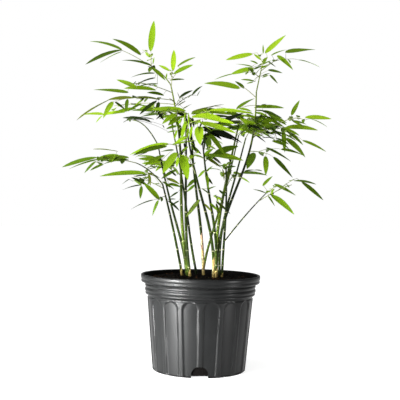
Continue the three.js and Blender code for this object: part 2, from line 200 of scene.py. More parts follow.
def makeCaneSkin(name, dark, lit, roughness):
    # Fine streaks up the cane over long paler patches, partly its own mottling and partly painted light
    # where the cane looks lit, with a dusty bloom in places
    shader = Shader(name, Specular_IOR_Level=0.05)
    fineWay, patchWay = shader.stretched((1, 1, 0.03)), shader.stretched((1, 1, 0.4))
    streaks = shader.ramp(shader.grain(700.0, vector=fineWay), *softStops)
    patches = shader.ramp(shader.grain(24.0, 2.0, vector=patchWay), (0.38, 0.0), (0.68, 1.0))
    bloom = shader.ramp(shader.grain(260.0, 4.0), (0.6, 0.0), (0.8, 1.0))
    base = shader.blend(streaks * 0.4 + patches * 0.6, dark, lit)
    shader.feed("Base Color", shader.blend(bloom * 0.05, base, (0.20, 0.24, 0.10)))
    shader.feed("Roughness", roughness + 0.2 * bloom)
    shader.bump(streaks, 0.25, 0.0002)
    return shader.material


def makeLeafSkin(name, green, roughness=0.5):
    # One plain green a spray, with fine veins along the blade and a paler rib
    shader = Shader(name, Specular_IOR_Level=0.05)
    across = shader.node("ShaderNodeSeparateXYZ", {}, {"Vector": shader.coordinates("UV")})
    lines = {"Vector": shader.stretched((1, 0.02, 1), "UV"), "Scale": 5.0, "Distortion": 0.6}
    veins = shader.node("ShaderNodeTexWave", {"bands_direction": "X"}, lines)
    fromRib = across - 0.5
    rib = shader.ramp(fromRib.maths("ABSOLUTE", fromRib), (0.0, 1.0), (0.05, 0.0))
    mottle = shader.ramp(shader.grain(55.0, 2.0), *softStops)
    deep = tuple(part * 0.8 for part in green)
    pale = tuple(min(1, part * 1.25 + 0.01) for part in green)
    base = shader.blend(veins * 0.14 + mottle * 0.2, green, deep)
    shader.feed("Base Color", shader.blend(rib * 0.5, base, pale))
    shader.feed("Roughness", roughness + 0.08 * mottle)
    shader.bump(veins * 0.4 + rib, 0.04, 0.0001)
    return shader.material


def makeTwigSkin(name, dark, pale):
    shader = Shader(name, Roughness=0.55)
    bands = shader.ramp(shader.grain(90.0), *softStops)
    shader.feed("Base Color", shader.blend(bands, dark, pale))
    shader.bump(bands, 0.2, 0.0002)
    return shader.material


potPlastic = makePotPlastic()
shadedPotInside = makeShadedPotInside()
soilMix = makeSoilMix()
chipSkins = [
    makeBarkChip("chipDark", (0.0012, 0.0008, 0.0007), (0.006, 0.0034, 0.002)),
    makeBarkChip("chipBrown", (0.014, 0.006, 0.002), (0.06, 0.024, 0.008)),
]
caneSkins = {
    "dark": makeCaneSkin("caneDark", (0.0010, 0.0020, 0.0006), (0.020, 0.038, 0.0026), 0.42),
    "green": makeCaneSkin("caneGreen", (0.012, 0.026, 0.002), (0.085, 0.125, 0.008), 0.42),
    "ring": makeTwigSkin("nodeRing", (0.12, 0.14, 0.05), (0.42, 0.43, 0.24)),
    "scar": makeTwigSkin("nodeScar", (0.03, 0.032, 0.010), (0.12, 0.11, 0.04)),
    "straw": makeTwigSkin("sheathStraw", (0.12, 0.08, 0.017), (0.36, 0.262, 0.07)),
    "tan": makeTwigSkin("sheathTan", (0.19, 0.11, 0.055), (0.38, 0.245, 0.14)),
    "young": makeCaneSkin("caneYoung", (0.07, 0.11, 0.012), (0.20, 0.27, 0.035), 0.42),
}
# Twig skins are dealt by how lit their spray is, pale among lit leaves and dark in the shade: painted light
# and shade
twigSkins = {
    "olive": makeTwigSkin("twigOlive", (0.07, 0.085, 0.02), (0.20, 0.24, 0.06)),
    "pale": makeTwigSkin("twigPale", (0.22, 0.24, 0.09), (0.42, 0.44, 0.20)),
    "dark": makeTwigSkin("twigDark", (0.012, 0.016, 0.006), (0.05, 0.055, 0.02)),
}
# The greens from lime down to shade are partly the leaves' own spread of tones and partly painted light and
# shade: lit sprays are dealt the bright greens, and shaded ones the dark greens down to the near black
# shade
leafSkins = {
    "lime": makeLeafSkin("leafLime", (0.262, 0.425, 0.011)),
    "fresh": makeLeafSkin("leafFresh", (0.188, 0.325, 0.007)),
    "green": makeLeafSkin("leafGreen", (0.122, 0.222, 0.005)),
    "deep": makeLeafSkin("leafDeep", (0.061, 0.120, 0.003)),
    "dark": makeLeafSkin("leafDark", (0.019, 0.042, 0.002)),
    "shade": makeLeafSkin("leafShade", (0.005, 0.010, 0.002)),
    "olive": makeLeafSkin("leafOlive", (0.125, 0.165, 0.011)),
    "moss": makeLeafSkin("leafMoss", (0.046, 0.074, 0.003)),
}
caneKinds, twigKinds, greens = list(caneSkins), list(twigSkins), list(leafSkins)
print("materials made")


def handOver(mesh, name, skins, nodes, sharpAngle=40):
    # Makes a mesh a piece of the model, which stands for the named nodes of the solids
    for skin in skins:
        mesh.materials.append(skin)
    mesh.shade_smooth()
    mesh.set_sharp_from_angle(angle=math.radians(sharpAngle))
    piece = bpy.data.objects.new(name, mesh)
    scene.collection.objects.link(piece)
    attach(piece, "root")
    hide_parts(*nodes)
    return piece


def meshFrom(bm, name):
    bmesh.ops.scale(bm, vec=(toMetres, toMetres, toMetres), verts=bm.verts)
    mesh = bpy.data.meshes.new(name)
    bm.to_mesh(mesh)
    bm.free()
    return mesh


class Shape:
    # A small shape kept as arrays, to be copied many times
    def __init__(self, bm):
        bm.verts.index_update()
        mapLayer = bm.loops.layers.uv.active
        self.places = numpy.array([vert.co[:] for vert in bm.verts])
        self.faces = [[vert.index for vert in face.verts] for face in bm.faces]
        loops = [loop for face in bm.faces for loop in face.loops]
        self.corners = [loop[mapLayer].uv[:] if mapLayer else (0, 0) for loop in loops]
        bm.free()


class Bundle:
    # Copies of small shapes, joined as arrays into one mesh
    def __init__(self):
        self.places = []
        self.faces = []
        self.skins = []
        self.corners = []
        self.count = 0

    def add(self, shape, places, skinOf):
        self.places.append(places)
        for i, face in enumerate(shape.faces):
            self.faces.append([corner + self.count for corner in face])
            self.skins.append(skinOf(i) if callable(skinOf) else skinOf)
        self.corners.extend(shape.corners)
        self.count += len(places)

    def mesh(self, name):
        mesh = bpy.data.meshes.new(name)
        mesh.from_pydata((numpy.concatenate(self.places) * toMetres).tolist(), [], self.faces)
        mesh.uv_layers.new(name="leafMap")
        mesh.uv_layers[0].data.foreach_set("uv", numpy.array(self.corners, dtype=float).ravel())
        mesh.polygons.foreach_set("material_index", self.skins)
        return mesh


# The rows of the wall are the foot's, then those of a first height, a step and a count
potCut = dict(
    footRadius=108.8, bodyRadius=123.6, bodyZ=167.0, wall=2.4, floor=5.0, steps=384,
    underside=(0, 60, 98), footRound=1.2, floorCorner=4,
    footRows=(1.2, 2.0, 3.0, 4.0, 5.5), wallRows=(9, 6.6, 20), archRows=(140, 1.2, 24),
    panels=16, ribWidth=8.8, panelTop=171.0, slope=3.6, depth=2.6, footRing=3.0, turn=1.1,
    drawnRadius=100, drawnTop=173, sole=1,
    notches=2, notchWidth=38.0, notchHeight=26.0, notchReach=130, notchDepth=45,
    rimFoot=203, rimInside=134.4,
)
potLean = (potCut["bodyRadius"] - potCut["footRadius"]) / potCut["bodyZ"]

# Radius and height from the neck over the ringed band and the rolled lip
lipOutside = [
    (123.1, 168.6), (122.2, 170.4), (122.0, 171.8), (122.8, 173.4), (125.2, 174.8), (127.4, 176.0),
    (128.5, 177.4), (128.8, 178.8), (128.4, 180.2), (127.8, 181.3), (128.0, 182.4), (129.1, 183.8),
    (129.8, 185.4), (129.9, 187.2), (129.4, 189.2), (128.5, 190.9), (128.2, 192.1), (128.5, 193.2),
    (129.4, 194.5), (129.8, 196.0), (129.8, 197.4), (129.2, 199.2), (128.3, 200.6), (128.6, 201.7),
    (130.8, 202.5), (134.6, 203.1), (137.2, 203.8), (138.5, 204.9), (139.0, 206.4), (138.9, 208.2),
    (138.4, 209.8), (138.4, 210.8), (138.8, 211.8), (139.6, 213.0), (140.0, 214.6), (140.0, 218.4),
    (139.7, 220.2), (138.9, 221.4), (137.6, 222.0), (136.2, 221.9), (134.9, 221.3), (134.0, 220.2),
    (133.4, 218.4), (132.4, 213.0), (130.2, 208.0), (127.4, 204.6), (126.2, 202.6), (126.1, 186.0),
    (124.8, 180.0), (121.2, 174.0), (120.6, 170.6),
]


def bodyRadiusAt(z):
    return potCut["footRadius"] + potLean * z


def potProfile():
    # From the middle of the underside, up over the lip and down the inner wall to the floor
    floor = potCut["floor"]
    body = list(potCut["footRows"])
    for first, step, count in (potCut["wallRows"], potCut["archRows"]):
        body += [first + step * i for i in range(count)]
    underside = [*potCut["underside"], potCut["footRadius"] - potCut["footRound"]]
    outside = [(bodyRadiusAt(z), z) for z in body] + lipOutside
    inside = [(bodyRadiusAt(z) - potCut["wall"], z) for z in reversed(body) if z > floor]
    inner = [bodyRadiusAt(floor) - potCut["floorCorner"], *potCut["underside"][1::-1]]
    bottom = [(radius, 0) for radius in underside]
    return bottom + outside + inside + [(radius, floor) for radius in inner]


def fluteShare(angle, radius, z):
    # 1 on the floor of a sunk arched panel, 0 on the ribs, and a slope between them
    pitch = 2 * math.pi / potCut["panels"]
    across = abs((((angle - math.radians(potCut["turn"])) / pitch) % 1.0) - 0.5) * pitch * radius
    half = (pitch * radius - potCut["ribWidth"]) / 2
    reach = math.hypot(across, max(0.0, z - potCut["panelTop"] + half))
    share = min(1.0, max(0.0, (half - reach) / potCut["slope"]))
    foot = min(1.0, max(0.0, (z - potCut["sole"]) / potCut["footRing"]))
    return share * share * (3 - 2 * share) * foot * foot * (3 - 2 * foot)


def spunShell(profile, steps):
    bm = bmesh.new()
    verts = [bm.verts.new((radius, 0, z)) for radius, z in profile]
    edges = [bm.edges.new(pair) for pair in zip(verts, verts[1:])]
    bmesh.ops.spin(bm, geom=verts + edges, cent=(0, 0, 0), axis=(0, 0, 1), angle=2 * math.pi,
                   steps=steps, use_merge=True)
    bmesh.ops.remove_doubles(bm, verts=bm.verts, dist=0.01)
    bmesh.ops.recalc_face_normals(bm, faces=bm.faces)
    return bm


def notchCutter(degrees):
    # An upright arch with its foot below the pot, pushed in through the wall
    half, height = potCut["notchWidth"] / 2, potCut["notchHeight"]
    bm = bmesh.new()
    bmesh.ops.create_circle(bm, cap_ends=True, segments=48, radius=half)
    for vert in bm.verts:
        rise = vert.co.y if vert.co.y > 0 else vert.co.y * 0.02 - height * 0.4
        vert.co = Vector((vert.co.x, -potCut["notchReach"], height - half + rise))
    made = bmesh.ops.extrude_face_region(bm, geom=bm.faces[:])
    pushed = [part for part in made["geom"] if isinstance(part, bmesh.types.BMVert)]
    bmesh.ops.translate(bm, vec=(0, potCut["notchDepth"], 0), verts=pushed)
    bmesh.ops.recalc_face_normals(bm, faces=bm.faces)
    turn = Matrix.Rotation(math.radians(degrees), 3, "Z")
    bmesh.ops.rotate(bm, cent=(0, 0, 0), matrix=turn, verts=bm.verts)
    return bm


def withCut(mesh, cutters):
    # The mesh with the cutters taken out of it by an exact Boolean
    holder = bpy.data.objects.new("cutHolder", mesh)
    scene.collection.objects.link(holder)
    tools = []
    for cutter in cutters:
        tool = bpy.data.objects.new("cutTool", cutter)
        scene.collection.objects.link(tool)
        step = holder.modifiers.new("cut", "BOOLEAN")
        step.operation = "DIFFERENCE"
        step.solver = "EXACT"
        step.object = tool
        tools.append(tool)
    made = holder.evaluated_get(bpy.context.evaluated_depsgraph_get())
    cut = bpy.data.meshes.new_from_object(made)
    for thing in [holder, *tools]:
        bpy.data.objects.remove(thing)
    return cut


def drawIn(vert):
    # Sinks a point of the wall, outer or inner, into the panel it is in
    radius = math.hypot(vert.co.x, vert.co.y)
    if radius > potCut["drawnRadius"] and vert.co.z < potCut["drawnTop"]:
        share = fluteShare(math.atan2(vert.co.y, vert.co.x), radius, vert.co.z)
        middle = bodyRadiusAt(vert.co.z) - potCut["wall"] / 2
        inner = radius < middle and vert.co.z > potCut["sole"]
        floor = bodyRadiusAt(vert.co.z) - potCut["depth"] - (potCut["wall"] if inner else 0)
        drawn = radius - share * max(0.0, radius - floor)
        vert.co.x *= drawn / radius
        vert.co.y *= drawn / radius


def makePot():
    bm = spunShell(potProfile(), potCut["steps"])
    for vert in bm.verts:
        drawIn(vert)
    mesh = meshFrom(bm, "pot")
    turns = [potCut["turn"] + i * 360 / potCut["notches"] for i in range(potCut["notches"])]
    cut = withCut(mesh, [meshFrom(notchCutter(turn), "notch") for turn in turns])
    cut.name = "pot"
    piece = handOver(cut, "flutedPot", [potPlastic, shadedPotInside], ["pot"], 35)
    for face in piece.data.polygons:
        # The dull second skin, painted dark as shade, is on the rim's inside, above the soil
        place = face.center / toMetres
        radius = math.hypot(place.x, place.y)
        face.material_index = int(place.z > potCut["rimFoot"] and radius < potCut["rimInside"])


makePot()
print("pot made")


# Each kind of lump has a pitch, a fade, a gap between its octaves, their count and a height
soilCut = dict(
    level=216.0, edge=209.5, flatRadius=104.0, rimRadius=127.6, steps=180, rings=44, spunAt=300,
    foot=7, middle=60, gap=6.4, wallRows=(30, 60, 100, 140, 166),
    neck=((118.5, 172), (124.6, 184), (125.2, 203)), brim=207.4,
    sunk=0.6, lump=1.6, share=0.6, lumps=((0.05, 0.9, 2.1, 4, 1.1), (0.22, 0.8, 2.2, 3, 0.6)),
)

# A pair is the least of a measure and what chance can add to it
chipCut = dict(
    count=420, size=(1.6, 3.0), reach=121.0, seed=71, raised=0.2, darkShare=0.84,
    broad=(0.35, 0.4), flat=(0.22, 0.25), rough=(0.8, 0.4),
)


def drawsFrom(seed):
    # A counting draw, so that a seed always grows the same spray
    state = seed * 7919 + 104729
    while True:
        state = (state * 1664525 + 1013904223) % 4294967296
        yield state / 4294967296


def within(span, draws, power=1):
    # The least of a measure and what chance adds to it
    return span[0] + span[1] * next(draws) ** power


def centred(draws):
    return next(draws) * 2 - 1


def soilHeight(x, y):
    radius = math.hypot(x, y)
    fall = max(0.0, radius - soilCut["flatRadius"]) / (soilCut["rimRadius"] - soilCut["flatRadius"])
    level = soilCut["level"] - (soilCut["level"] - soilCut["edge"]) * fall
    lumps = sum(noise.fractal(Vector((x, y, 0)) * pitch, fade, gap, octaves) * height
                for pitch, fade, gap, octaves, height in soilCut["lumps"])
    return level - soilCut["sunk"] + min(1.0, lumps) * soilCut["lump"] * soilCut["share"]


def makeSoil():
    foot, gap, rim, rings = [soilCut[key] for key in ("foot", "gap", "rimRadius", "rings")]
    wall = [(0, foot), (soilCut["middle"], foot), (bodyRadiusAt(foot) - gap, foot)]
    wall += [(bodyRadiusAt(z) - gap, z) for z in soilCut["wallRows"]]
    wall += [*soilCut["neck"], (rim, soilCut["brim"])]
    # The top is spun flat, well over the pot, and then let down to the height of the mix
    top = [(rim * (1 - i / rings), soilCut["spunAt"]) for i in range(rings + 1)]
    bm = spunShell(wall + top, soilCut["steps"])
    for vert in bm.verts:
        if vert.co.z > soilCut["spunAt"] - 1:
            vert.co.z = soilHeight(vert.co.x, vert.co.y)
    handOver(meshFrom(bm, "soil"), "pottingSoil", [soilMix], ["soil"], 60)


def makeChips():
    # Bark chips and crumbs that lie half sunk in the mix
    bm = bmesh.new()
    bmesh.ops.create_icosphere(bm, subdivisions=1, radius=1)
    crumb = Shape(bm)
    draws = drawsFrom(chipCut["seed"])
    bundle = Bundle()
    for i in range(chipCut["count"]):
        angle = 2 * math.pi * next(draws)
        radius = chipCut["reach"] * math.sqrt(next(draws))
        x, y = radius * math.cos(angle), radius * math.sin(angle)
        size = within(chipCut["size"], draws, 2)
        about, tilt = 2 * math.pi * next(draws), next(draws) - 0.5
        spin = Matrix.Rotation(about, 3, "Z") @ Matrix.Rotation(tilt, 3, "X")
        broad, flat = within(chipCut["broad"], draws), within(chipCut["flat"], draws)
        rough = numpy.array([[within(chipCut["rough"], draws)] for corner in crumb.places])
        stretch = numpy.array([size, size * broad, size * flat])
        places = (crumb.places * rough * stretch) @ numpy.array(spin.transposed())
        places += numpy.array([x, y, soilHeight(x, y) + chipCut["raised"] * size])
        bundle.add(crumb, places, 0 if next(draws) < chipCut["darkShare"] else 1)
    handOver(bundle.mesh("chips"), "barkChips", chipSkins, ["soil"], 30)


makeSoil()
makeChips()
print("soil made")


# A cane's first node and its gaps differ from its neighbours' by the two spreads. Its rings are
# closer where a sheath ends, which the slanting edge needs
caneCut = dict(
    steps=6, sides=12, rings=40, slant=3, girth=1.14, taper=1.7, greenAbove=525, youngAbove=590,
    firstNode=22, nodeSpread=7, nodeGap=38, gapSpread=3, gapGrowth=1.09, lastGap=12, fineSteps=200,
    sheathRings=5, sheathGap=2, nodeRoom=3.6, buried=6, overlap=0.2,
)
boughCut = dict(steps=3, sides=8, firstNode=6, nodeGap=26, gapGrowth=1.0)

# The rings at a node: how far above it, how swollen, and their skin unless it is the cane's own
nodeRings = (
    (-3.4, 1.0, None), (-1.5, 1.05, "ring"), (-0.4, 1.2, "scar"),
    (0.5, 1.128, "scar"), (1.0, 1.04, None), (3.0, 1.0, None),
)
soilTop, clearance = 216.3, 0.3  # where canes start, and the gap between touching solids


def rowsOf(fields, rows):
    return [dict(zip(fields, row)) for row in rows]


# Foot on the soil, a point at half length, tip, sway to the side, diameters at both ends, skin,
# and the heights to which a straw and a tan sheath reach
canes = rowsOf(["name", "foot", "half", "tip", "sway", "thick", "skin", "straw", "tan"], [
    ["cane_left_front", (-44, 24), (-66, -24, 328), (-90, -80, 430), (0, 0), (5.4, 3.0), "dark", 232, 0],
    ["cane_left_arching", (-34, 36), (-62, 66, 340), (-112, 110, 530), (3, 0), (6.0, 2.8), "dark", 0, 0],
    ["cane_left_tall", (-30, 22), (-51, 34, 440), (-81, 50, 672), (-6, 0), (7.0, 2.6), "green", 0, 0],
    ["cane_left_inner", (-25, 6), (-38, -40, 400), (-40, -110, 588), (-2, 4), (6.2, 2.8), "dark", 230, 0],
    ["cane_back_left", (-10, 72), (-38, 118, 370), (-84, 186, 600), (-2, -6), (5.6, 2.6), "dark", 0, 0],
    ["cane_centre", (7, 46), (-12, 70, 400), (-31, 110, 597), (3, 0), (6.4, 2.8), "dark", 276, 312],
    ["cane_back_right", (6, 90), (38, 132, 350), (92, 200, 566), (-3, -4), (5.6, 2.6), "green", 0, 0],
    ["cane_front_crossing", (30, -16), (5, -75, 380), (-39, -150, 558), (5, 4), (6.2, 2.8), "dark", 262, 0],
    ["cane_front_inner", (37, -2), (23, -40, 370), (-2, -90, 526), (3, 0), (6.0, 2.8), "dark", 234, 0],
    ["cane_right_green", (36, 15), (49, 28, 400), (85, 40, 580), (-2, 0), (7.0, 2.8), "green", 262, 0],
    ["cane_right_tall", (36, 34), (82, 12, 430), (121, -20, 650), (-12, 0), (6.2, 2.6), "dark", 246, 0],
    ["cane_right_back", (46, 48), (64, 88, 390), (108, 150, 556), (-4, 0), (5.4, 2.8), "dark", 0, 0],
    ["cane_right_front", (50, 2), (54, -40, 340), (51, -110, 470), (-1, 0), (5.2, 2.8), "dark", 224, 0],
])

# The cane each bough leaves, the share of its length where it does, tip, rise, diameters, skin
boughs = rowsOf(["name", "on", "at", "tip", "rise", "thick", "skin"], [
    ["bough_top_left", "cane_left_tall", 1, (-128, 42, 713), 6, (2.4, 1.8), "green"],
    ["bough_top_right", "cane_right_tall", 1, (132, -30, 709), 0, (2.4, 1.8), "green"],
    ["bough_low_right", "cane_right_front", 0.34, (140, -140, 415), 4, (2.8, 1.8), "dark"],
    ["bough_left_arch", "cane_left_arching", 1, (-176, 120, 592), 14, (2.6, 1.8), "green"],
    ["bough_far_left", "cane_left_front", 1, (-150, -95, 476), 6, (2.6, 1.8), "green"],
    ["bough_right_middle", "cane_right_tall", 0.76, (178, 10, 582), 5, (2.6, 1.8), "green"],
])


class LimbCurve:
    # A curve through a root, a point at half length and a tip, which sways one way and back
    def __init__(self, root, half, tip, sway=(0, 0, 0)):
        self.parts = [Vector(root), Vector(half), Vector(tip), Vector(sway)]

    def weighed(self, *weights):
        return sum((part * weight for part, weight in zip(self.parts, weights)), Vector())

    def point(self, t):
        swing = math.sin(2 * math.pi * t)
        return self.weighed((1 - t) * (1 - 2 * t), 4 * t * (1 - t), t * (2 * t - 1), swing)

    def tangent(self, t):
        swing = 2 * math.pi * math.cos(2 * math.pi * t)
        return self.weighed(4 * t - 3, 4 - 8 * t, 4 * t - 1, swing).normalized()


def squareTo(direction, axis):
    return (direction - axis * direction.dot(axis)).normalized()


# The photograph's size, middle and focal length in its pixels, the eye, the roll in degrees and
# the width of the camera's sensor
photograph = dict(size=400, middle=200, focal=813.8, eye=(-5, -1913, 396), roll=1.163, sensor=36)


def seenAt(across, down, depth):
    # The place at a depth (y) that the photograph shows at a pixel
    roll = math.radians(photograph["roll"])
    eye = photograph["eye"]
    right, below = across - photograph["middle"], down - photograph["middle"]
    scale = (depth - eye[1]) / photograph["focal"]
    level = right * math.cos(roll) + below * math.sin(roll)
    drop = below * math.cos(roll) - right * math.sin(roll)
    return Vector((eye[0] + level * scale, depth, eye[2] - drop * scale))


def turned(direction, axis, degrees):
    return Matrix.Rotation(math.radians(degrees), 3, axis) @ direction


def curveTo(start, tip, rise):
    return LimbCurve(start, start.lerp(tip, 0.5) + up * rise, tip)


tubes = {}  # the tubes made so far, by sides and rings
seam = Vector((0, -1, 0.02))  # where the first corner of each ring looks


def tubeShape(sides, rings):
    # A straight tube of one circle extruded ring by ring, with its ends closed
    if (sides, rings) not in tubes:
        bm = bmesh.new()
        bmesh.ops.create_circle(bm, cap_ends=True, segments=sides, radius=1)
        face = bm.faces[:][0]
        for ring in range(1, rings):
            made = bmesh.ops.extrude_face_region(bm, geom=[face])["geom"]
            raised = [part for part in made if isinstance(part, bmesh.types.BMVert)]
            bmesh.ops.translate(bm, vec=(0, 0, 1), verts=raised)
            old, face = face, next(part for part in made if isinstance(part, bmesh.types.BMFace))
            if ring > 1:
                bm.faces.remove(old)
        bmesh.ops.recalc_face_normals(bm, faces=bm.faces)
        shape = Shape(bm)
        shape.ringOf = [round(place[2]) for place in shape.places]
        shape.faceRing = [min(shape.ringOf[corner] for corner in face) for face in shape.faces]
        shape.faceSide = [sum(shape.places[corner][1] for corner in face) / len(face)
                          for face in shape.faces]
        tubes[(sides, rings)] = shape
    return tubes[(sides, rings)]


def addTube(bundle, curve, stations, sides, slant=0):
    # Sets the rings of a tube square to a curve: each station is a share, a radius and a skin
    shape = tubeShape(sides, len(stations))
    frames = []
    for share, radius, skin in stations:
        along = curve.tangent(share)
        corner = squareTo(seam, along)
        frames.append((curve.point(share), corner * radius, corner.cross(along) * radius))
    places = []
    for (x, y, z), ring in zip(shape.places, shape.ringOf):
        centre, first, second = frames[ring]
        places.append(centre + first * x + second * y)

    def skinOf(i):
        # A sheath reaches higher on one side, so that its edge slants round the cane
        level = shape.faceRing[i]
        slanted = min(len(stations) - 2, max(0, level + round(slant * shape.faceSide[i])))
        plain, moved = stations[level][2], stations[slanted][2]
        return moved if slant and max(plain, moved) in sheathKinds else plain

    bundle.add(shape, numpy.array([place[:] for place in places]), skinOf)


sheathKinds = [caneKinds.index("straw"), caneKinds.index("tan")]
limbs = {}  # the canes and boughs as their solids run, by name


def nodeShares(curve, first, gap, widening):
    # Where the nodes of a cane sit, wider apart as it climbs, and the cane's length
    parts = caneCut["fineSteps"]
    spots = [curve.point(i / parts) for i in range(parts + 1)]
    lengths = [0.0]
    for spot, following in zip(spots, spots[1:]):
        lengths.append(lengths[-1] + (following - spot).length)
    shares, place = [], first
    while place < lengths[-1] - caneCut["lastGap"]:
        i = next(k for k, length in enumerate(lengths) if length >= place)
        shares.append(i / parts)
        place += gap
        gap *= widening
    return shares, lengths[-1]


def caneStations(curve, limb, nodes):
    # The rings of a cane: the share of its length, the radius and the skin of each
    (foot, end), straw, tan = limb["thick"], limb.get("straw", 0), limb.get("tan", 0)
    shares, length = nodeShares(curve, *nodes)
    marks = {round(i / caneCut["rings"], 4) for i in range(caneCut["rings"] + 1)}

    def skinAt(share):
        z = curve.point(share).z
        if z < straw or z < tan:
            return caneKinds.index("straw" if z < straw else "tan")
        if z > caneCut["greenAbove"]:
            return caneKinds.index("young" if z > caneCut["youngAbove"] else "green")
        return caneKinds.index(limb["skin"])

    millimetre, reach = 1 / length, caneCut["sheathRings"]
    for sheath in (straw, tan):
        if sheath:
            edge = min(marks, key=lambda share: abs(curve.point(share).z - sheath))
            marks.update(round(edge + k * caneCut["sheathGap"] * millimetre, 4)
                         for k in range(-reach, reach + 1))
    stations = [(share, 1.0, skinAt(share)) for share in marks]
    for share in shares:
        room = caneCut["nodeRoom"] * millimetre
        stations = [station for station in stations if abs(station[0] - share) > room]
        for above, swell, kind in nodeRings:
            index = caneKinds.index(kind) if kind else skinAt(share)
            stations.append((share + above * millimetre, swell, index))
    sized = []
    for share, swell, index in sorted(stations):
        if 0 <= share <= 1:
            across = foot + (end - foot) * share ** caneCut["taper"]
            sized.append((share, caneCut["girth"] * across / 2 * swell, index))
    return sized


def axisOf(limb, at):
    # The axis of a limb of the solids, which runs straight from ring to ring
    ring = min(int(at * limb["steps"]), limb["steps"] - 1)
    first = limb["curve"].point(ring / limb["steps"])
    last = limb["curve"].point((ring + 1) / limb["steps"])
    along = limb["curve"].tangent(1) if at == 1 else (last - first).normalized()
    return first.lerp(last, at * limb["steps"] - ring), along


def startOn(on, at, tip, radius):
    # Where a limb of the solids starts, clear of the limb that carries it
    carrier = limbs[on]
    axisPoint, along = axisOf(carrier, at)
    towards = (tip - axisPoint).normalized()
    cosine = towards.dot(along)
    sine = math.sqrt(1 - cosine * cosine)
    if at == 1:
        return axisPoint + along * (clearance + radius * sine)
    foot, end = carrier["thick"]
    carrierRadius = (foot + (end - foot) * at) / 2
    return axisPoint + towards * ((carrierRadius + clearance + radius * abs(cosine)) / sine)


def rooted(curve, on, at):
    # The same curve with its root sunk into the limb that carries it
    carrier = limbs[on]["curve"].point(at)
    return LimbCurve(carrier, *curve.parts[1:])


def makeCanes():
    bundle = Bundle()
    for cane in canes:
        foot = Vector((*cane["foot"], soilTop))
        curve = LimbCurve(foot, cane["half"], cane["tip"], (*cane["sway"], 0))
        limbs[cane["name"]] = dict(curve=curve, thick=cane["thick"], steps=caneCut["steps"])
        first = caneCut["firstNode"] + caneCut["nodeSpread"] * (len(limbs) % 4)
        gap = caneCut["nodeGap"] + caneCut["gapSpread"] * (len(limbs) % 3)
        nodes = (first, gap, caneCut["gapGrowth"])
        stations = caneStations(curve, cane, nodes)
        addTube(bundle, curve, stations, caneCut["sides"], caneCut["slant"])
        # A short buried foot, so that the cane goes down into the soil
        deep = up * caneCut["buried"]
        buried = LimbCurve(foot - deep, foot - deep / 2, foot + up * caneCut["overlap"])
        radius, kind = cane["thick"][0] / 2, stations[0][2]
        addTube(bundle, buried, [(0, radius, kind), (1, radius, kind)], caneCut["sides"])
    names = [cane["name"] for cane in canes]
    handOver(bundle.mesh("canes"), "canes", caneSkins.values(), names)


def makeBoughs():
    bundle = Bundle()
    nodes = (boughCut["firstNode"], boughCut["nodeGap"], boughCut["gapGrowth"])
    for bough in boughs:
        tip = Vector(bough["tip"])
        start = startOn(bough["on"], bough["at"], tip, bough["thick"][0] / 2)
        curve = curveTo(start, tip, bough["rise"])
        limbs[bough["name"]] = dict(curve=curve, thick=bough["thick"], steps=boughCut["steps"])
        stations = caneStations(curve, bough, nodes)
        addTube(bundle, rooted(curve, bough["on"], bough["at"]), stations, boughCut["sides"])
    names = [bough["name"] for bough in boughs]
    handOver(bundle.mesh("boughs"), "boughs", caneSkins.values(), names)


makeCanes()
makeBoughs()
print("canes and boughs made")


# The growth rule of the solids. A pair is the least of a measure and what chance can add to it
growth = dict(
    firstTwig=0.3, lastTwig=0.86, spotSpread=0.3, twigShare=0.52, twigLength=(0.85, 0.4), twigEnd=6,
    twigAngle=34, angleSpread=12, twist=25, lift=0.03, steep=0.9, stemRadius=1.7,
    leafStep=10, leafGap=1.5, fanStart=14, fanStep=9, fanSpread=10, tipSpread=6, shrink=0.07,
    leafLength=(0.8, 0.34), turnSpread=55, bend=(0.05, 0.13), sag=(0.4, 1.2),
)

# How the sprays are carried to finer twigs: twiglets behind the fans, and those of the leaves
# that the photograph shows, which start from the nearest of some spots on a stem or twig
fine = dict(
    stemRadius=0.95, twigRadius=0.62, tipRadius=0.4, sideTwig=1.15, twigRise=0.05, stemRings=9,
    twigletSides=5, twigletRings=4, leafTwigRings=7,
    twiglets=1, fullFan=2, length=20, lengthSpread=(0.7, 0.6), angle=38, angleSpread=(0.8, 0.4),
    gap=4, rise=1.0, tip=0.8, leaves=2, blade=0.62, sag=0.1, lightSpread=0.18,
    spots=24, firstSpot=3, seed=200, sway=1.3, knownLean=0.4, touching=1.5, hold=2, lift=0.06,
    foot=1.3, sameGreen=0.7, darker=0.85,
)
inward = dict(count=2, first=0.35, last=0.97, spread=0.34, turn=30, length=(0.65, 0.25), bend=0.04)
shading = dict(spread=0.42, oliveShare=0.04, steps=5.4, paleTwig=0.6, oliveTwig=0.3)
# Each spray's twigs take the tone of its green, as painted light and shade
twigOf = {"lime": "pale", "fresh": "pale", "dark": "dark", "shade": "dark"}
leafCut = dict(
    rows=(0, 0.05, 0.17, 0.33, 0.52, 0.72, 0.89, 1.0), width=0.205, thick=0.005, fold=0.22,
    foot=0.55, point=0.85, widest=0.405, least=0.02, waves=9,
    twists=((0.0, 0.0, 0.0008), (0.3, 0.03, 0.0012), (-0.3, -0.04, 0.001),
            (0.45, -0.02, 0.0008), (-0.45, 0.045, 0.0012)),
)
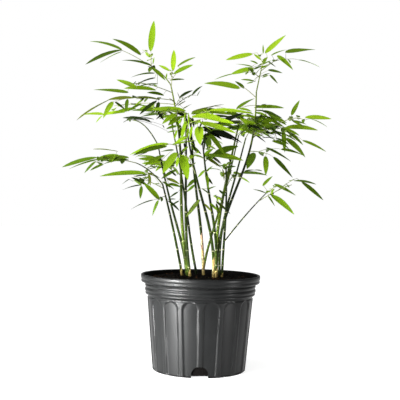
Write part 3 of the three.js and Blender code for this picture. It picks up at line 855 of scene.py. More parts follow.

# What carries the stem and where, the stem's tip, side twigs, leaves on each twig, leaf length,
# turn of the fan about the stem, droop, how lit the spray is from 0 to 1, which its leaves and
# twigs show as painted light and shade, and how many leaves of each fan stay where the sprays
# below thin it out
masses = rowsOf(["name", "on", "at", "tip", "twigs", "leaves", "blade", "turn", "sag", "light",
                 "kept"], [
    ["crown_left", "bough_top_left", 1, (-129, 36, 744), 1, 1, 84, 0, 0, 0.75, 0],
    ["far_top_left", "bough_top_left", 0.86, (-202, 66, 756), 0, 4, 92, 30, 0.35, 0.5, 0],
    ["top_left_low", "bough_top_left", 0.6, (-136, 30, 712), 1, 2, 70, 20, 0.15, 0.4, 0],
    ["top_inner", "cane_left_tall", 0.985, (-78, 26, 702), 2, 3, 50, 0, 0, 0.8, 0],
    ["left_high", "cane_left_tall", 0.96, (-157, 14, 672), 2, 3, 56, 20, 0.1, 0.5, 0],
    ["left_shoulder", "cane_left_tall", 0.92, (-159, -14, 629), 4, 3, 62, 10, 0.15, 0.35, 0],
    ["far_left_high", "cane_left_tall", 0.9, (-222, 96, 624), 2, 3, 80, 10, 0.05, 0.75, 0],
    ["upper_middle", "cane_left_tall", 0.89, (-38, 66, 648), 1, 3, 42, 40, 0, 0.5, 0],
    ["heart_high", "cane_left_inner", 1, (-74, -146, 588), 2, 3, 72, 10, 0.05, 0.75, 0],
    ["heart_right", "cane_centre", 1, (8, 92, 614), 2, 4, 98, 15, 0.08, 0.8, 0],
    ["crown_right", "bough_top_right", 1, (134, -32, 724), 2, 2, 60, 0, 0.25, 0.9, 0],
    ["right_high", "bough_top_right", 0.8, (172, -62, 724), 1, 3, 70, -30, 0.25, 0.55, 0],
    ["right_high_inner", "bough_top_right", 0.55, (105, 4, 704), 2, 3, 62, -20, 0.3, 0.4, 0],
    ["right_branch", "cane_right_tall", 0.97, (89, -40, 658), 0, 2, 96, 20, 0, 0.8, 0],
    ["right_upper", "cane_right_tall", 0.93, (152, 26, 621), 1, 3, 64, 30, 0.1, 0.4, 0],
    ["right_heart", "cane_right_green", 1, (143, 20, 596), 4, 3, 76, 10, 0.1, 0.5, 0],
    ["right_heart_low", "cane_right_tall", 0.77, (160, -60, 561), 4, 4, 70, 15, 0.15, 0.35, 0],
    ["far_right_high", "bough_right_middle", 1, (227, 4, 596), 2, 3, 60, 20, 0.15, 0.65, 0],
    ["far_right_low", "bough_right_middle", 0.8, (220, -20, 547), 3, 3, 64, 10, 0.22, 0.45, 0],
    ["right_droop", "cane_right_tall", 0.69, (148, -56, 504), 1, 3, 64, 60, 0.7, 0.5, 0],
    ["right_back", "cane_right_back", 1, (136, 196, 601), 3, 3, 72, 10, 0.15, 0.5, 3],
    ["low_right_near", "bough_low_right", 1, (154, -156, 423), 1, 4, 66, 50, 0.45, 0.65, 0],
    ["low_right_far", "bough_low_right", 0.8, (188, -194, 432), 1, 3, 60, 40, 0.5, 0.6, 0],
    ["left_arch", "cane_left_tall", 0.68, (-89, -16, 525), 0, 2, 98, 30, 0.05, 0.75, 0],
    ["far_left", "bough_far_left", 1, (-227, -124, 484), 3, 3, 80, 10, 0.06, 0.45, 0],
    ["left_low", "cane_left_front", 0.95, (-157, -58, 448), 2, 3, 82, 20, 0.12, 0.45, 0],
    ["left_lowest", "cane_left_front", 0.86, (-101, -104, 396), 1, 3, 60, 40, 0.3, 0.5, 0],
    ["left_arch_tip", "bough_left_arch", 1, (-190, 130, 598), 2, 3, 56, 10, 0.1, 0.2, 0],
    ["left_middle", "cane_left_arching", 0.9, (-130, 92, 477), 2, 3, 60, 30, 0.12, 0.5, 0],
    ["front", "cane_front_crossing", 0.71, (-40, -232, 494), 2, 3, 62, 0, 0.4, 0.85, 0],
    ["front_high", "cane_front_crossing", 1, (-12, -190, 562), 2, 3, 62, 20, 0.3, 0.85, 1],
    ["centre_front", "cane_front_inner", 1, (12, -132, 547), 3, 3, 72, 30, 0.3, 0.3, 1],
    ["centre_low", "cane_front_inner", 0.86, (24, -62, 500), 1, 2, 74, 30, 0.15, 0.55, 1],
    ["lowest_middle", "cane_right_green", 0.5, (30, -4, 406), 1, 2, 50, 30, 0.7, 0.55, 0],
    ["front_right", "cane_right_front", 1, (60, -172, 479), 2, 3, 60, 20, 0.3, 0.5, 0],
    ["back_left", "cane_back_left", 1, (-110, 232, 628), 4, 4, 72, 10, 0.15, 0.5, 3],
    ["back_right", "cane_back_right", 1, (118, 244, 590), 4, 4, 72, 10, 0.15, 0.5, 4],
    ["back_left_low", "cane_back_left", 0.7, (-96, 232, 492), 3, 3, 70, 20, 0.25, 0.5, 3],
    ["back_right_low", "cane_back_right", 0.68, (84, 256, 468), 3, 3, 70, 20, 0.25, 0.5, 2],
])

# Finer sprays, read from the photograph: what carries one, its green, which runs down to near black
# as painted shade where the spray hangs in the crown's shade, and each leaf's foot and tip in the
# photograph's pixels, how far its tip leans back as a share of its length, how far its face turns
# from the front up to the sky in degrees, and how broad it is
sprays = rowsOf(["stem", "green", "leaves"], [
    ["crown_left", "fresh", [(153, 64, 154, 57, 0.2, 30, 1), (141, 55, 113, 37.5, 0.15, 35, 0.9)]],
    ["crown_left", "green", [(150.6, 51.5, 154, 20, 0, 10, 0.95)]],
    ["far_top_left", "green", [
        (122, 50, 90, 41, 0.2, 55, 0.75), (121, 52, 100, 62.5, 0.3, 56, 0.62)]],
    ["far_top_left", "deep", [(122, 50, 86, 65, -0.15, 56, 0.62)]],
    ["top_left_low", "deep", [
        (151.7, 65.7, 122, 59.6, 0.1, 55, 1), (154.7, 73.3, 131, 77, -0.2, 54, 0.9),
        (155.4, 78, 134, 86, 0.2, 58, 0.85), (151, 67, 166, 80, 0.2, 40, 1.1),
        (158, 84, 137, 86.7, 0.1, 70, 0.8), (158, 84, 145.6, 87.7, -0.2, 70, 0.8)]],
    ["top_inner", "lime", [(173, 71, 175, 49, 0, 20, 1)]],
    ["top_inner", "fresh", [
        (169.5, 71, 159, 65, 0.1, 35, 1.1), (177.6, 66.6, 196, 57, 0.25, 62, 1),
        (166, 79, 167, 73, 0.2, 20, 1.1)]],
    ["top_inner", "green", [
        (173.5, 74, 193, 64, -0.15, 42, 1), (170, 80.5, 185, 79.5, 0.2, 55, 0.9)]],
    ["left_high", "green", [
        (128.6, 92.5, 93.5, 90.6, -0.1, 42, 0.9), (164, 95.5, 147, 92.3, 0.2, 50, 1.1)]],
    ["left_high", "fresh", [
        (137, 88, 116.6, 79.5, 0.1, 35, 1.1), (156, 90.3, 124, 88, 0.2, 55, 0.9)]],
    ["left_shoulder", "olive", [
        (109, 100, 77, 120, -0.1, 84, 0.6), (134, 98, 108, 99.5, 0.1, 60, 1.1),
        (160, 100, 131, 98, 0.2, 68, 0.9)]],
    ["left_shoulder", "fresh", [
        (112.5, 101.5, 104.6, 118.5, -0.9, 20, 1.4), (144.2, 99, 135, 105.6, 0.2, 35, 1)]],
    ["left_shoulder", "deep", [
        (127.4, 99, 126, 112.5, -0.6, 20, 1.4), (114.7, 102, 125, 110, 0.2, 45, 1.1),
        (141.4, 104, 127.4, 112, 0.1, 48, 1.1), (157, 100.7, 139.3, 114.4, -0.2, 45, 0.95),
        (158.5, 102, 157.5, 113.5, -0.5, 15, 1.9)]],
    ["far_left_high", "lime", [
        (104, 114.5, 80.5, 114.6, 0, 48, 1), (125, 112.3, 103, 114.8, 0.1, 52, 1)]],
    ["far_left_high", "fresh", [
        (136, 108.5, 112, 114, 0.1, 50, 1), (102, 116, 96, 122.5, 0.2, 45, 1)]],
    ["left_arch_tip", "dark", [
        (129.5, 116.5, 152, 122.5, 0.1, 62, 0.7), (150, 121, 123, 117.6, 0.2, 66, 0.65),
        (129, 119.3, 123, 122.8, 0.2, 60, 0.8), (154, 119.5, 133, 117, 0, 64, 0.6),
        (162.6, 125, 164.6, 128.4, 0, 30, 1.2), (168.6, 132.6, 171.4, 131.6, 0, 30, 1.3)]],
    ["upper_middle", "deep", [
        (179.5, 98, 192, 90, 0.2, 45, 1), (192, 95, 202.6, 86, -0.2, 45, 1.1),
        (197.2, 96, 200.6, 89.8, 0.1, 50, 0.8), (187.7, 98, 192.4, 94, 0, 50, 0.9)]],
    ["upper_middle", "olive", [
        (176, 104, 169, 98, 0.2, 50, 0.8), (177, 103, 182, 96, 0.1, 50, 0.7),
        (178, 106, 186, 101, 0, 55, 0.8), (180, 99, 177, 92, 0.1, 40, 0.7),
        (183, 109, 192, 104, 0.2, 50, 1)]],
    ["heart_high", "fresh", [
        (186, 111, 151, 110.3, 0.1, 52, 0.95), (184.5, 111.5, 166, 109, 0.1, 25, 1.6),
        (188, 114, 178, 112, -0.2, 35, 1.3)]],
    ["heart_high", "fresh", [
        (176.5, 114, 161.5, 123.5, -0.5, 20, 1.5), (180, 117, 168, 125.5, -0.3, 22, 1.6),
        (184.5, 116.5, 170, 121, -0.2, 38, 1.2), (176, 131, 167, 132.3, 0.1, 40, 1.2),
        (182, 119, 176, 127, 0.2, 25, 1.5)]],
    ["heart_high", "deep", [
        (157.5, 114, 142, 114, 0.2, 62, 1), (176.5, 126.3, 166, 128.8, 0.1, 32, 1.5),
        (168, 116, 159, 118.5, 0.2, 35, 1.5), (176, 121, 181, 131, 0.3, 25, 1.5)]],
    ["heart_high", "shade", [
        (158, 112, 163.5, 120.5, 0.3, 25, 1.6), (163, 114, 156, 120, 0.3, 30, 1.5),
        (180, 125, 180.6, 137, 0.5, 15, 1.4), (177, 113.5, 187, 116, 0.5, 30, 1.5)]],
    ["heart_right", "olive", [(191.5, 112, 224, 104.5, 0.1, 62, 0.65)]],
    ["heart_right", "fresh", [
        (191, 114, 222, 109.5, 0.1, 48, 1.1), (205, 112, 231, 114, 0.2, 58, 1)]],
    ["heart_right", "lime", [
        (209, 110.5, 254, 114, 0, 52, 0.55), (191.5, 117, 224, 118.5, -0.1, 50, 0.8),
        (240, 115, 255, 118.5, -0.1, 45, 1.2)]],
    ["front_high", "lime", [
        (200, 122.5, 236.5, 133.5, -0.1, 30, 0.72), (199, 126.4, 198.5, 145.5, -1.7, 8, 1.25),
        (187, 141.8, 196.5, 140.6, 0.1, 50, 1)]],
    ["front_high", "fresh", [
        (186, 121, 181.5, 139, -0.6, 25, 1.1), (192, 126, 190, 140, -0.2, 25, 1.2),
        (188, 116, 193, 124, 0.1, 35, 1.1), (177, 130, 174.5, 140, 0.1, 25, 1.1),
        (190.5, 143, 197, 150, 0.1, 30, 1.6)]],
    ["front_high", "fresh", [
        (187, 137.2, 174.5, 142.6, 0.1, 22, 1.5), (184.3, 125.5, 183, 138, 0.2, 15, 1.5),
        (188.5, 128, 187, 138.5, 0.2, 15, 1.4), (185, 112, 184, 128, 0.1, 10, 0.5),
        (188.4, 112.5, 188.6, 129, 0.1, 10, 0.5)]],
    ["front_high", "shade", [
        (190.3, 117.5, 191.5, 129, 0.6, 15, 1.5), (186.6, 118, 186.4, 128, 0.6, 15, 1.3),
        (192.5, 118, 194, 128, 0.6, 15, 1.2), (189.5, 136, 195, 146.5, 0.5, 25, 1.5),
        (184, 143, 186, 151, 0.4, 20, 1.6), (203, 121, 199, 129, 0.5, 30, 1.3)]],
    ["centre_front", "shade", [
        (202, 127, 239, 143.5, 0.1, 38, 0.8), (203, 130, 231, 138.5, 0.2, 36, 0.9),
        (208, 136, 200.5, 146, 0.1, 35, 1.2), (216, 129, 242, 143, 0.2, 48, 0.8),
        (212, 123.5, 233, 127.5, 0.2, 48, 1), (207, 131, 222, 139, 0.3, 35, 1.1),
        (209, 130, 224, 134, 0.2, 35, 1.5)]],
    ["centre_front", "deep", [(208, 133, 225, 154, 0.1, 35, 1.1)]],
    ["right_heart", "dark", [
        (240, 118, 222, 117, 0.2, 48, 1.1), (241, 122, 220, 125, 0.1, 42, 1.3),
        (240, 126, 224, 131.5, 0.1, 45, 1.3), (222, 124, 238, 129, 0, 45, 1.2)]],
    ["heart_right", "dark", [
        (208, 116.5, 236, 118.6, 0.3, 52, 0.8), (212, 119, 236, 123.5, 0.3, 45, 0.9)]],
    ["right_heart", "deep", [
        (244, 119, 236, 115, 0.1, 40, 1.2), (256, 120, 268, 126, 0.1, 44, 1.2),
        (250, 119, 262, 122.5, 0.2, 44, 1.2), (262, 116, 275, 119.5, 0.2, 45, 1)]],
    ["right_heart", "fresh", [
        (258.5, 116.5, 271.5, 122.7, -0.2, 32, 1.5), (268, 113.5, 286.5, 125.2, -0.1, 34, 1.35)]],
    ["right_heart", "fresh", [
        (240, 118, 247.5, 124, 0.1, 30, 1.6), (276, 117.5, 287, 123, 0.1, 40, 1.2),
        (246, 114.5, 257, 119.5, 0.1, 35, 1.3), (255, 112.5, 268, 116.5, 0.1, 42, 1.2),
        (264, 110.5, 276, 114, 0.1, 42, 1.1), (247, 121, 257, 127, 0, 32, 1.3),
        (262, 121, 274, 126.5, 0, 34, 1.3)]],
    ["right_heart_low", "fresh", [
        (240, 127, 252.3, 133.7, 0, 30, 1.4), (256, 132.5, 267, 130, 0.2, 42, 1.2),
        (263, 125, 276, 131, 0, 36, 1.3), (270, 128, 281, 136.5, 0, 36, 1.3),
        (250, 128.5, 262, 132.5, 0, 36, 1.2)]],
    ["right_heart_low", "shade", [
        (260, 128, 246, 125.5, 0.1, 45, 1), (262, 131.5, 275, 135, 0.1, 48, 1),
        (279, 126.5, 264, 130.5, 0.1, 50, 1), (262.5, 138, 278, 138.5, 0.2, 70, 0.7)]],
    ["right_heart", "green", [
        (226, 113, 244, 116.5, 0.1, 45, 1.2), (232, 116, 247, 121, 0, 40, 1.2),
        (248, 116, 262, 119.5, 0, 40, 1.2), (266, 118, 284, 127, 0, 38, 1.1),
        (252, 113, 240, 112, 0.1, 48, 1.2), (230, 121, 245, 125, 0, 40, 1.1)]],
    ["right_heart_low", "deep", [
        (264, 126, 281, 129, 0, 45, 1.1), (250, 125, 266, 127, 0, 45, 1.1),
        (283, 128, 296, 133.5, 0, 42, 1.2), (272, 130, 283, 137.5, 0, 38, 1.3),
        (276, 138.5, 289, 144, 0, 45, 0.9), (255, 129, 243, 131.5, 0, 45, 1.1)]],
    ["right_heart_low", "green", [
        (256, 124, 243, 120.5, 0, 40, 1.2), (270, 133, 287, 134.5, 0, 45, 1.1),
        (249, 131, 240, 136, 0.1, 40, 1.1), (276, 140, 289, 149, 0.1, 40, 1.1),
        (284, 134, 297, 141, 0, 45, 1)]],
    ["right_upper", "fresh", [
        (236.4, 109.2, 254, 98, 0.1, 42, 0.95), (239, 108.5, 252, 111.5, 0.1, 42, 1.2)]],
    ["right_upper", "green", [
        (254, 107.5, 284, 108.5, 0.2, 58, 1), (262, 111, 282.5, 118.5, 0.1, 48, 1),
        (255, 110.5, 270, 112, 0.2, 58, 1)]],
    ["far_right_high", "lime", [(305, 117.5, 331.5, 119.7, 0.1, 38, 1)]],
    ["far_right_high", "green", [
        (291.5, 115.5, 300, 100, 0.1, 28, 1.15), (292, 121, 306.5, 124.5, 0.2, 48, 1.1),
        (293, 121.5, 305, 127.7, -0.1, 42, 1.1), (310, 118.8, 327, 127, -0.2, 76, 0.7)]],
    ["far_right_low", "fresh", [
        (285, 128.5, 316.5, 129.3, 0.1, 56, 1), (302.3, 140.5, 326, 151.8, -0.1, 52, 1),
        (285.5, 129.3, 299.5, 136, -0.1, 42, 1.1)]],
    ["far_right_low", "green", [
        (286, 131, 303.5, 145, 0.1, 50, 1), (283, 130, 284.8, 152.5, 0.1, 22, 1.2),
        (286, 138, 306, 157, 0.1, 34, 1.25)]],
    ["far_right_low", "fresh", [(272, 141, 287, 146.5, 0.2, 42, 1.3)]],
    ["right_droop", "green", [(281, 149.5, 304, 155.5, 0.1, 46, 1)]],
    ["right_droop", "deep", [
        (266, 147.5, 291, 161, 0.1, 50, 0.85), (254, 152.6, 248, 169.5, -0.2, 20, 1.9),
        (273, 157, 293, 177, -0.1, 32, 1)]],
    ["right_droop", "green", [(265.4, 156, 267, 175.5, -0.5, 10, 1.35)]],
    ["crown_right", "lime", [
        (265, 53.3, 286.2, 35.3, 0, 20, 0.95), (252.7, 53.9, 225.9, 60.6, 0.1, 32, 1),
        (261.3, 60, 253.5, 54.2, 0.2, 20, 1.2), (263.2, 53.6, 262.8, 44.6, 0.1, 35, 1)]],
    ["right_high", "green", [
        (285.2, 52.5, 315.8, 50, 0.1, 40, 1), (277, 55.5, 293.5, 69.7, -0.3, 25, 1.3),
        (271, 55.5, 286.5, 49.4, -0.2, 55, 1), (298.6, 60, 319.5, 67, 0.2, 60, 0.8),
        (268, 61.6, 276, 67, 0.1, 40, 1.2)]],
    ["right_high_inner", "fresh", [
        (252.7, 66.8, 236, 64.4, 0.2, 52, 1), (254, 68.5, 230.7, 75, -0.1, 36, 1.3),
        (262.3, 77.4, 268.5, 75.6, 0.1, 40, 1.3), (255.6, 81.7, 241, 79.8, 0.1, 58, 0.9),
        (258, 64, 250, 60.5, 0.1, 40, 1), (264, 64, 272, 60.5, 0.1, 40, 1.1)]],
    ["right_high_inner", "green", [
        (236, 73.5, 214.5, 79.7, 0, 66, 0.8), (262.5, 76, 270, 73, 0.1, 40, 1.2),
        (253, 82.2, 246.5, 83.5, 0.1, 30, 1.4)]],
    ["right_high_inner", "fresh", [
        (268, 70.3, 282.5, 73, 0.2, 40, 1.2), (269.5, 75, 278, 83.3, 0.1, 32, 1.3)]],
    ["right_high_inner", "deep", [
        (258, 66, 268, 62, 0.1, 45, 1.1), (254, 69.5, 264, 65.5, 0.1, 42, 1.2),
        (260, 68.5, 269, 65.5, -0.1, 40, 1.2)]],
    ["right_branch", "fresh", [(240, 88.3, 204.5, 82, 0, 34, 1.05)]],
    ["right_branch", "deep", [(244.2, 88.5, 235.5, 80.7, 0.1, 25, 1.5)]],
    ["low_right_near", "green", [
        (262.7, 186, 273, 176, 0.1, 30, 1), (274, 184, 296, 195, -0.1, 42, 1),
        (265.5, 193, 253, 189, 0.2, 58, 1), (268, 196, 275, 206, 0.1, 35, 1)]],
    ["low_right_near", "fresh", [(271, 195, 295, 214, 0, 30, 1)]],
    ["low_right_far", "deep", [
        (294, 181, 316, 184, 0.1, 70, 1), (301.5, 182, 323, 201, 0, 40, 0.9)]],
    ["left_arch", "fresh", [(169, 144.2, 129.6, 155, 0, 40, 0.75)]],
    ["left_arch", "deep", [(167, 146.4, 133, 156.2, 0.15, 40, 0.7)]],
    ["left_arch", "green", [
        (172, 144.5, 196, 141, 0.1, 58, 1), (186, 138.5, 176.5, 141.5, 0.1, 42, 1.3)]],
    ["left_arch", "dark", [(147, 152.5, 135, 157, 0.2, 60, 0.9)]],
    ["far_left", "deep", [
        (97, 157.6, 62.2, 166.8, -0.1, 52, 0.62), (98, 159.5, 68.7, 168.7, 0.1, 52, 0.62),
        (96, 161.4, 84.4, 173, 0.1, 42, 1), (103.6, 164.5, 89.8, 171, 0.2, 48, 1),
        (126, 160.5, 106, 161, 0.2, 45, 1.1)]],
    ["far_left", "green", [
        (129, 157.5, 97, 159, 0.1, 52, 0.85), (128, 159.5, 103, 163.8, -0.1, 52, 0.85),
        (120, 156, 98, 157.5, 0.2, 50, 1.1)]],
    ["far_left", "olive", [(118, 151.5, 92.8, 149.2, 0.2, 80, 0.9)]],
    ["left_low", "deep", [
        (145.6, 173.4, 99.7, 176.2, 0, 45, 0.68), (141.4, 186, 140.7, 199, -0.4, 15, 1.5),
        (162.3, 181.7, 174.5, 189.5, 0.1, 48, 1.1)]],
    ["left_low", "dark", [
        (145.5, 175.5, 134, 176.5, 0.1, 58, 1), (129.6, 179, 121.9, 184.4, 0.2, 50, 0.8),
        (141, 185, 122.7, 190.3, -0.1, 52, 0.75), (147, 185.5, 131, 177.5, 0.1, 48, 1)]],
    ["left_lowest", "green", [(159.8, 200, 143, 183, 0.1, 35, 1.05)]],
    ["left_lowest", "dark", [(153.3, 200, 131, 209, -0.1, 68, 0.9)]],
    ["left_lowest", "deep", [(158.6, 200.4, 151.8, 215.6, 0.1, 32, 1.1)]],
    ["left_middle", "deep", [
        (164.8, 155.3, 144, 166, -0.1, 48, 1), (177, 169.5, 161, 178.7, 0.1, 42, 1),
        (162.5, 168, 147, 167.3, 0.1, 58, 0.9), (155.6, 167.5, 145.6, 170.5, 0.1, 55, 0.9)]],
    ["left_middle", "green", [
        (174, 150, 160, 152.5, 0.1, 48, 1.1), (170, 187.5, 162.5, 181.5, 0.1, 45, 1),
        (160, 184, 153, 184, 0.1, 50, 1)]],
    ["left_middle", "olive", [
        (148.7, 174, 151, 186, -0.3, 20, 1.5), (147.2, 173, 160, 178.5, 0.1, 38, 1.1),
        (166.8, 178.5, 179.8, 184.5, 0.1, 38, 1.2)]],
    ["left_middle", "deep", [
        (168.5, 184, 181, 187.2, 0.1, 35, 1.2), (150.5, 178, 147.5, 186, 0.2, 35, 1.2)]],
    ["front", "fresh", [(176.5, 152.5, 161, 173.5, -0.8, 20, 1.3)]],
    ["front", "green", [(178, 157, 177, 167.5, 0.1, 25, 1.6)]],
    ["front", "lime", [(181.5, 154.8, 189.9, 179.6, -1.0, 12, 1.25)]],
    ["front", "deep", [(191, 146, 201, 154.5, 0.1, 25, 1.6), (188, 146.5, 182, 152, 0.1, 35, 1.4)]],
    ["front", "shade", [
        (184, 148.5, 180.5, 156.5, 0.3, 25, 1.5), (192, 144, 196, 151, 0.3, 25, 1.6),
        (190, 149, 193, 156, 0.3, 25, 1.2)]],
    ["centre_low", "lime", [
        (208, 145.5, 216, 149, 0.1, 32, 1.2), (218, 141, 223, 144.5, 0.1, 35, 1.2)]],
    ["centre_low", "fresh", [
        (211.5, 154.5, 243.5, 160.5, -0.1, 38, 1.05), (203, 155.8, 229, 157.8, 0.1, 40, 1.1),
        (194, 155, 205, 158, 0.2, 38, 1.2)]],
    ["centre_low", "green", [
        (204, 155.6, 213.5, 148.4, 0.1, 28, 1.5), (226, 157.5, 240, 160, 0.2, 40, 1)]],
    ["centre_low", "shade", [
        (212.6, 157.4, 221.5, 163.5, 0.2, 25, 1.5), (229, 159, 232.5, 165, 0.2, 30, 1.3)]],
    ["centre_low", "olive", [
        (206, 158, 221, 168, 0.2, 45, 1), (222.5, 169, 224.5, 181, 0.2, 40, 0.8)]],
    ["cane_centre", "deep", [
        (195.3, 179.5, 186.3, 187.3, 0.1, 25, 1.7), (194.8, 185, 186.6, 193.2, 0.1, 28, 1.4)]],
    ["cane_front_inner", "deep", [
        (206, 172, 213, 166, 0.1, 35, 1.2), (205, 176, 213, 184, 0.1, 30, 1.2),
        (207, 190, 216, 186, 0.1, 45, 1), (210, 203, 217, 211, 0, 35, 1.2)]],
    ["cane_right_green", "dark", [
        (222, 176, 232, 170, 0.1, 40, 1), (224, 168, 236, 166, 0.1, 45, 1),
        (219, 190, 226, 197, 0, 35, 1.2), (218, 197, 224, 204, 0, 30, 1.2)]],
    ["cane_left_tall", "dark", [
        (176, 176, 168, 170, 0.1, 40, 1.1), (178, 192, 169, 199, 0.1, 38, 1.2),
        (179, 201, 171, 206, 0, 40, 1.1)]],
    ["cane_left_inner", "deep", [
        (186, 164, 177, 160, 0.1, 38, 1.2), (187, 176, 179, 172, 0.1, 38, 1.1),
        (188, 168, 196, 163, 0.1, 38, 1.2)]],
    ["cane_front_inner", "green", [
        (204.8, 170.2, 198, 177.8, 0.1, 28, 1.4), (205.3, 170, 209, 189.5, 0.1, 35, 1),
        (201.5, 188.5, 211, 196, 0.1, 58, 0.8)]],
    ["cane_front_crossing", "moss", [(200, 199.5, 186, 218, -0.2, 32, 1)]],
    ["cane_front_crossing", "olive", [(203.8, 203.4, 212, 212.5, 0.1, 42, 1)]],
    ["lowest_middle", "lime", [
        (221, 200, 213, 195.5, 0.1, 32, 1.1), (216, 197, 219, 203, 0.1, 30, 1)]],
    ["lowest_middle", "moss", [
        (215.9, 201.5, 230.5, 214.5, 0.1, 38, 0.95), (216, 203.4, 219.5, 217.5, 0, 32, 0.95)]],
    ["cane_left_front", "dark", [
        (168, 200.8, 179.5, 210.4, 0.1, 52, 0.9), (168, 199.5, 176, 198.9, 0.1, 60, 0.9)]],
])


def leafShape(twist, sweep, ripple):
    # A long pointed blade of unit length, folded a little along its rib and closed all round
    bm = bmesh.new()
    bm.loops.layers.uv.new("leafMap")
    rows = leafCut["rows"]
    bmesh.ops.create_grid(bm, x_segments=2, y_segments=len(rows) - 1, size=0.5, calc_uvs=True)
    for vert in bm.verts:
        side = vert.co.x * 2
        t = rows[round((vert.co.y + 0.5) * (len(rows) - 1))]
        outline = t ** leafCut["foot"] * (1 - t) ** leafCut["point"] / leafCut["widest"]
        half = leafCut["width"] / 2 * (outline + leafCut["least"])
        wave = ripple * math.sin(leafCut["waves"] * t + 2 * side) * abs(side)
        lift = leafCut["fold"] * half * abs(side) + wave
        turn, x = twist * t, half * side
        vert.co = Vector((x * math.cos(turn) + sweep * t * t, t, lift + x * math.sin(turn)))
    bmesh.ops.solidify(bm, geom=bm.faces[:], thickness=leafCut["thick"])
    bmesh.ops.recalc_face_normals(bm, faces=bm.faces)
    return Shape(bm)


leafShapes = [leafShape(*twist) for twist in leafCut["twists"]]


def growSpray(mass, draws):
    # The stem of a mass and its side twigs, each with its fan of leaves, as in the solids
    tip = Vector(mass["tip"])
    start = startOn(mass["on"], mass["at"], tip, growth["stemRadius"])
    reach = (tip - start).length
    curve = curveTo(start, tip, reach * growth["lift"])
    heading = curve.tangent(1)
    reference = toFront if abs(heading.z) > growth["steep"] else up
    fanNormal = turned(squareTo(reference, heading), heading, mass["turn"])
    twigs = []
    for i in range(mass["twigs"]):
        spot = (i + 0.5 + growth["spotSpread"] * centred(draws)) / mass["twigs"]
        share = growth["firstTwig"] + (growth["lastTwig"] - growth["firstTwig"]) * spot
        sign = 1 if i % 2 == 0 else -1
        angle = growth["twigAngle"] + growth["angleSpread"] * centred(draws)
        length = max(growth["twigShare"] * reach * within(growth["twigLength"], draws),
                     growth["leafStep"] * mass["leaves"] + growth["twigEnd"])
        along = curve.tangent(share)
        normal = turned(squareTo(fanNormal, along), along, growth["twist"] * centred(draws))
        way = turned(along, normal, sign * angle)
        foot = curve.point(share)
        end = foot + way * length
        twigs.append(dict(foot=foot, end=end, way=way, normal=squareTo(normal, way), leaves=[]))
    stem = dict(curve=curve, end=tip, way=heading, normal=fanNormal, leaves=[])
    for limb in (stem, *twigs):
        growFan(limb, mass["leaves"], mass["blade"], mass["sag"], draws)
    return stem, twigs


def growFan(tip, count, blade, sag, draws):
    # Adds a fan of leaves at the end of a twig, the first along it and the rest by turns beside
    way, normal = tip["way"], tip["normal"]
    for j in range(count):
        sign = 1 if j % 2 == 0 else -1
        opening = growth["fanStart"] + growth["fanStep"] * j if j else 0
        stray = growth["fanSpread" if j else "tipSpread"] * centred(draws)
        length = blade * (1 - growth["shrink"] * j) * within(growth["leafLength"], draws)
        heading = turned(way, normal, sign * (opening + stray))
        heading = (heading - up * sag * within(growth["sag"], draws)).normalized()
        face = turned(squareTo(normal, heading), heading, growth["turnSpread"] * centred(draws))
        bend = within(growth["bend"], draws)
        root = tip["end"] - way * (growth["leafGap"] + growth["leafStep"] * j)
        tip["leaves"].append(dict(root=root, heading=heading, face=face, length=length, bend=bend))


def leafBetween(foot, tip, turn, bend, breadth):
    # A leaf whose drooped tip ends at a given place
    span = (tip - foot).length
    raised = tip + up * bend * span
    heading = (raised - foot).normalized()
    front = squareTo(toFront, heading)
    side = heading.cross(front)
    side = side if side.z > 0 else -side
    angle = math.radians(turn)
    face = (front * math.cos(angle) + side * math.sin(angle)).normalized()
    length = (raised - foot).length
    return dict(root=foot, heading=heading, face=face, length=length, bend=bend, breadth=breadth)


def addLeaf(bundle, leaf, skin, draws):
    # One leaf, its blade drawn from the few shapes, with its tip bent down
    shape = leafShapes[int(next(draws) * len(leafShapes))]
    across = leaf["heading"].cross(leaf["face"]) * leaf.get("breadth", 1)
    length = leaf["length"]
    axes = numpy.array([across[:], leaf["heading"][:], leaf["face"][:]]) * length
    places = shape.places @ axes + numpy.array(leaf["root"][:])
    places[:, 2] -= leaf["bend"] * length * shape.places[:, 1] ** 2
    bundle.add(shape, places, skin)


def greenFor(light, draws):
    # Painted light and shade: lit masses hold mostly lime and fresh leaves, and shaded ones dark leaves
    level = min(0.999, max(0.0, 1 - light + shading["spread"] * (next(draws) - 0.5)))
    olive = next(draws) < shading["oliveShare"]
    return greens.index("olive") if olive else int(level * shading["steps"])


# The stems and twigs that leaves can grow on, by limb or mass, and how far along each is built
carriers = {name: [dict(curve=limb["curve"], reach=1)] for name, limb in limbs.items()}
leafGroups = {
    "leavesLeft": [
        "crown_left", "far_top_left", "top_left_low", "top_inner", "left_high", "left_shoulder",
        "far_left_high", "left_arch", "far_left", "left_low", "left_lowest", "left_arch_tip",
        "left_middle"],
    "leavesHeart": [
        "upper_middle", "heart_high", "heart_right", "front", "front_high", "centre_front",
        "centre_low", "lowest_middle", "front_right"],
    "leavesRight": [
        "crown_right", "right_high", "right_high_inner", "right_branch", "right_upper",
        "right_heart", "right_heart_low", "far_right_high", "far_right_low", "right_droop",
        "low_right_near", "low_right_far"],
    "leavesBack": [
        "right_back", "back_left", "back_right", "back_left_low", "back_right_low"],
}


def addTwig(bundle, curve, first, last, skin, sides=6, rings=6, reach=1):
    shares = [i / (rings - 1) for i in range(rings)]
    stations = [(share * reach, first + (last - first) * share, skin) for share in shares]
    addTube(bundle, curve, stations, sides)


def layOut(mass, seed):
    # The stem and side twigs of a mass, which its own leaves and the finer sprays grow on
    draws = drawsFrom(seed)
    stem, twigs = growSpray(mass, draws)
    stem.update(curve=rooted(stem["curve"], mass["on"], mass["at"]), reach=1)
    for twig in twigs:
        rise = fine["twigRise"] * (twig["end"] - twig["foot"]).length
        curve = curveTo(twig["foot"], twig["end"], rise)
        twig.update(curve=curve, reach=1 if mass["kept"] else 0)
    carriers[mass["name"]] = [stem, *twigs]
    return draws


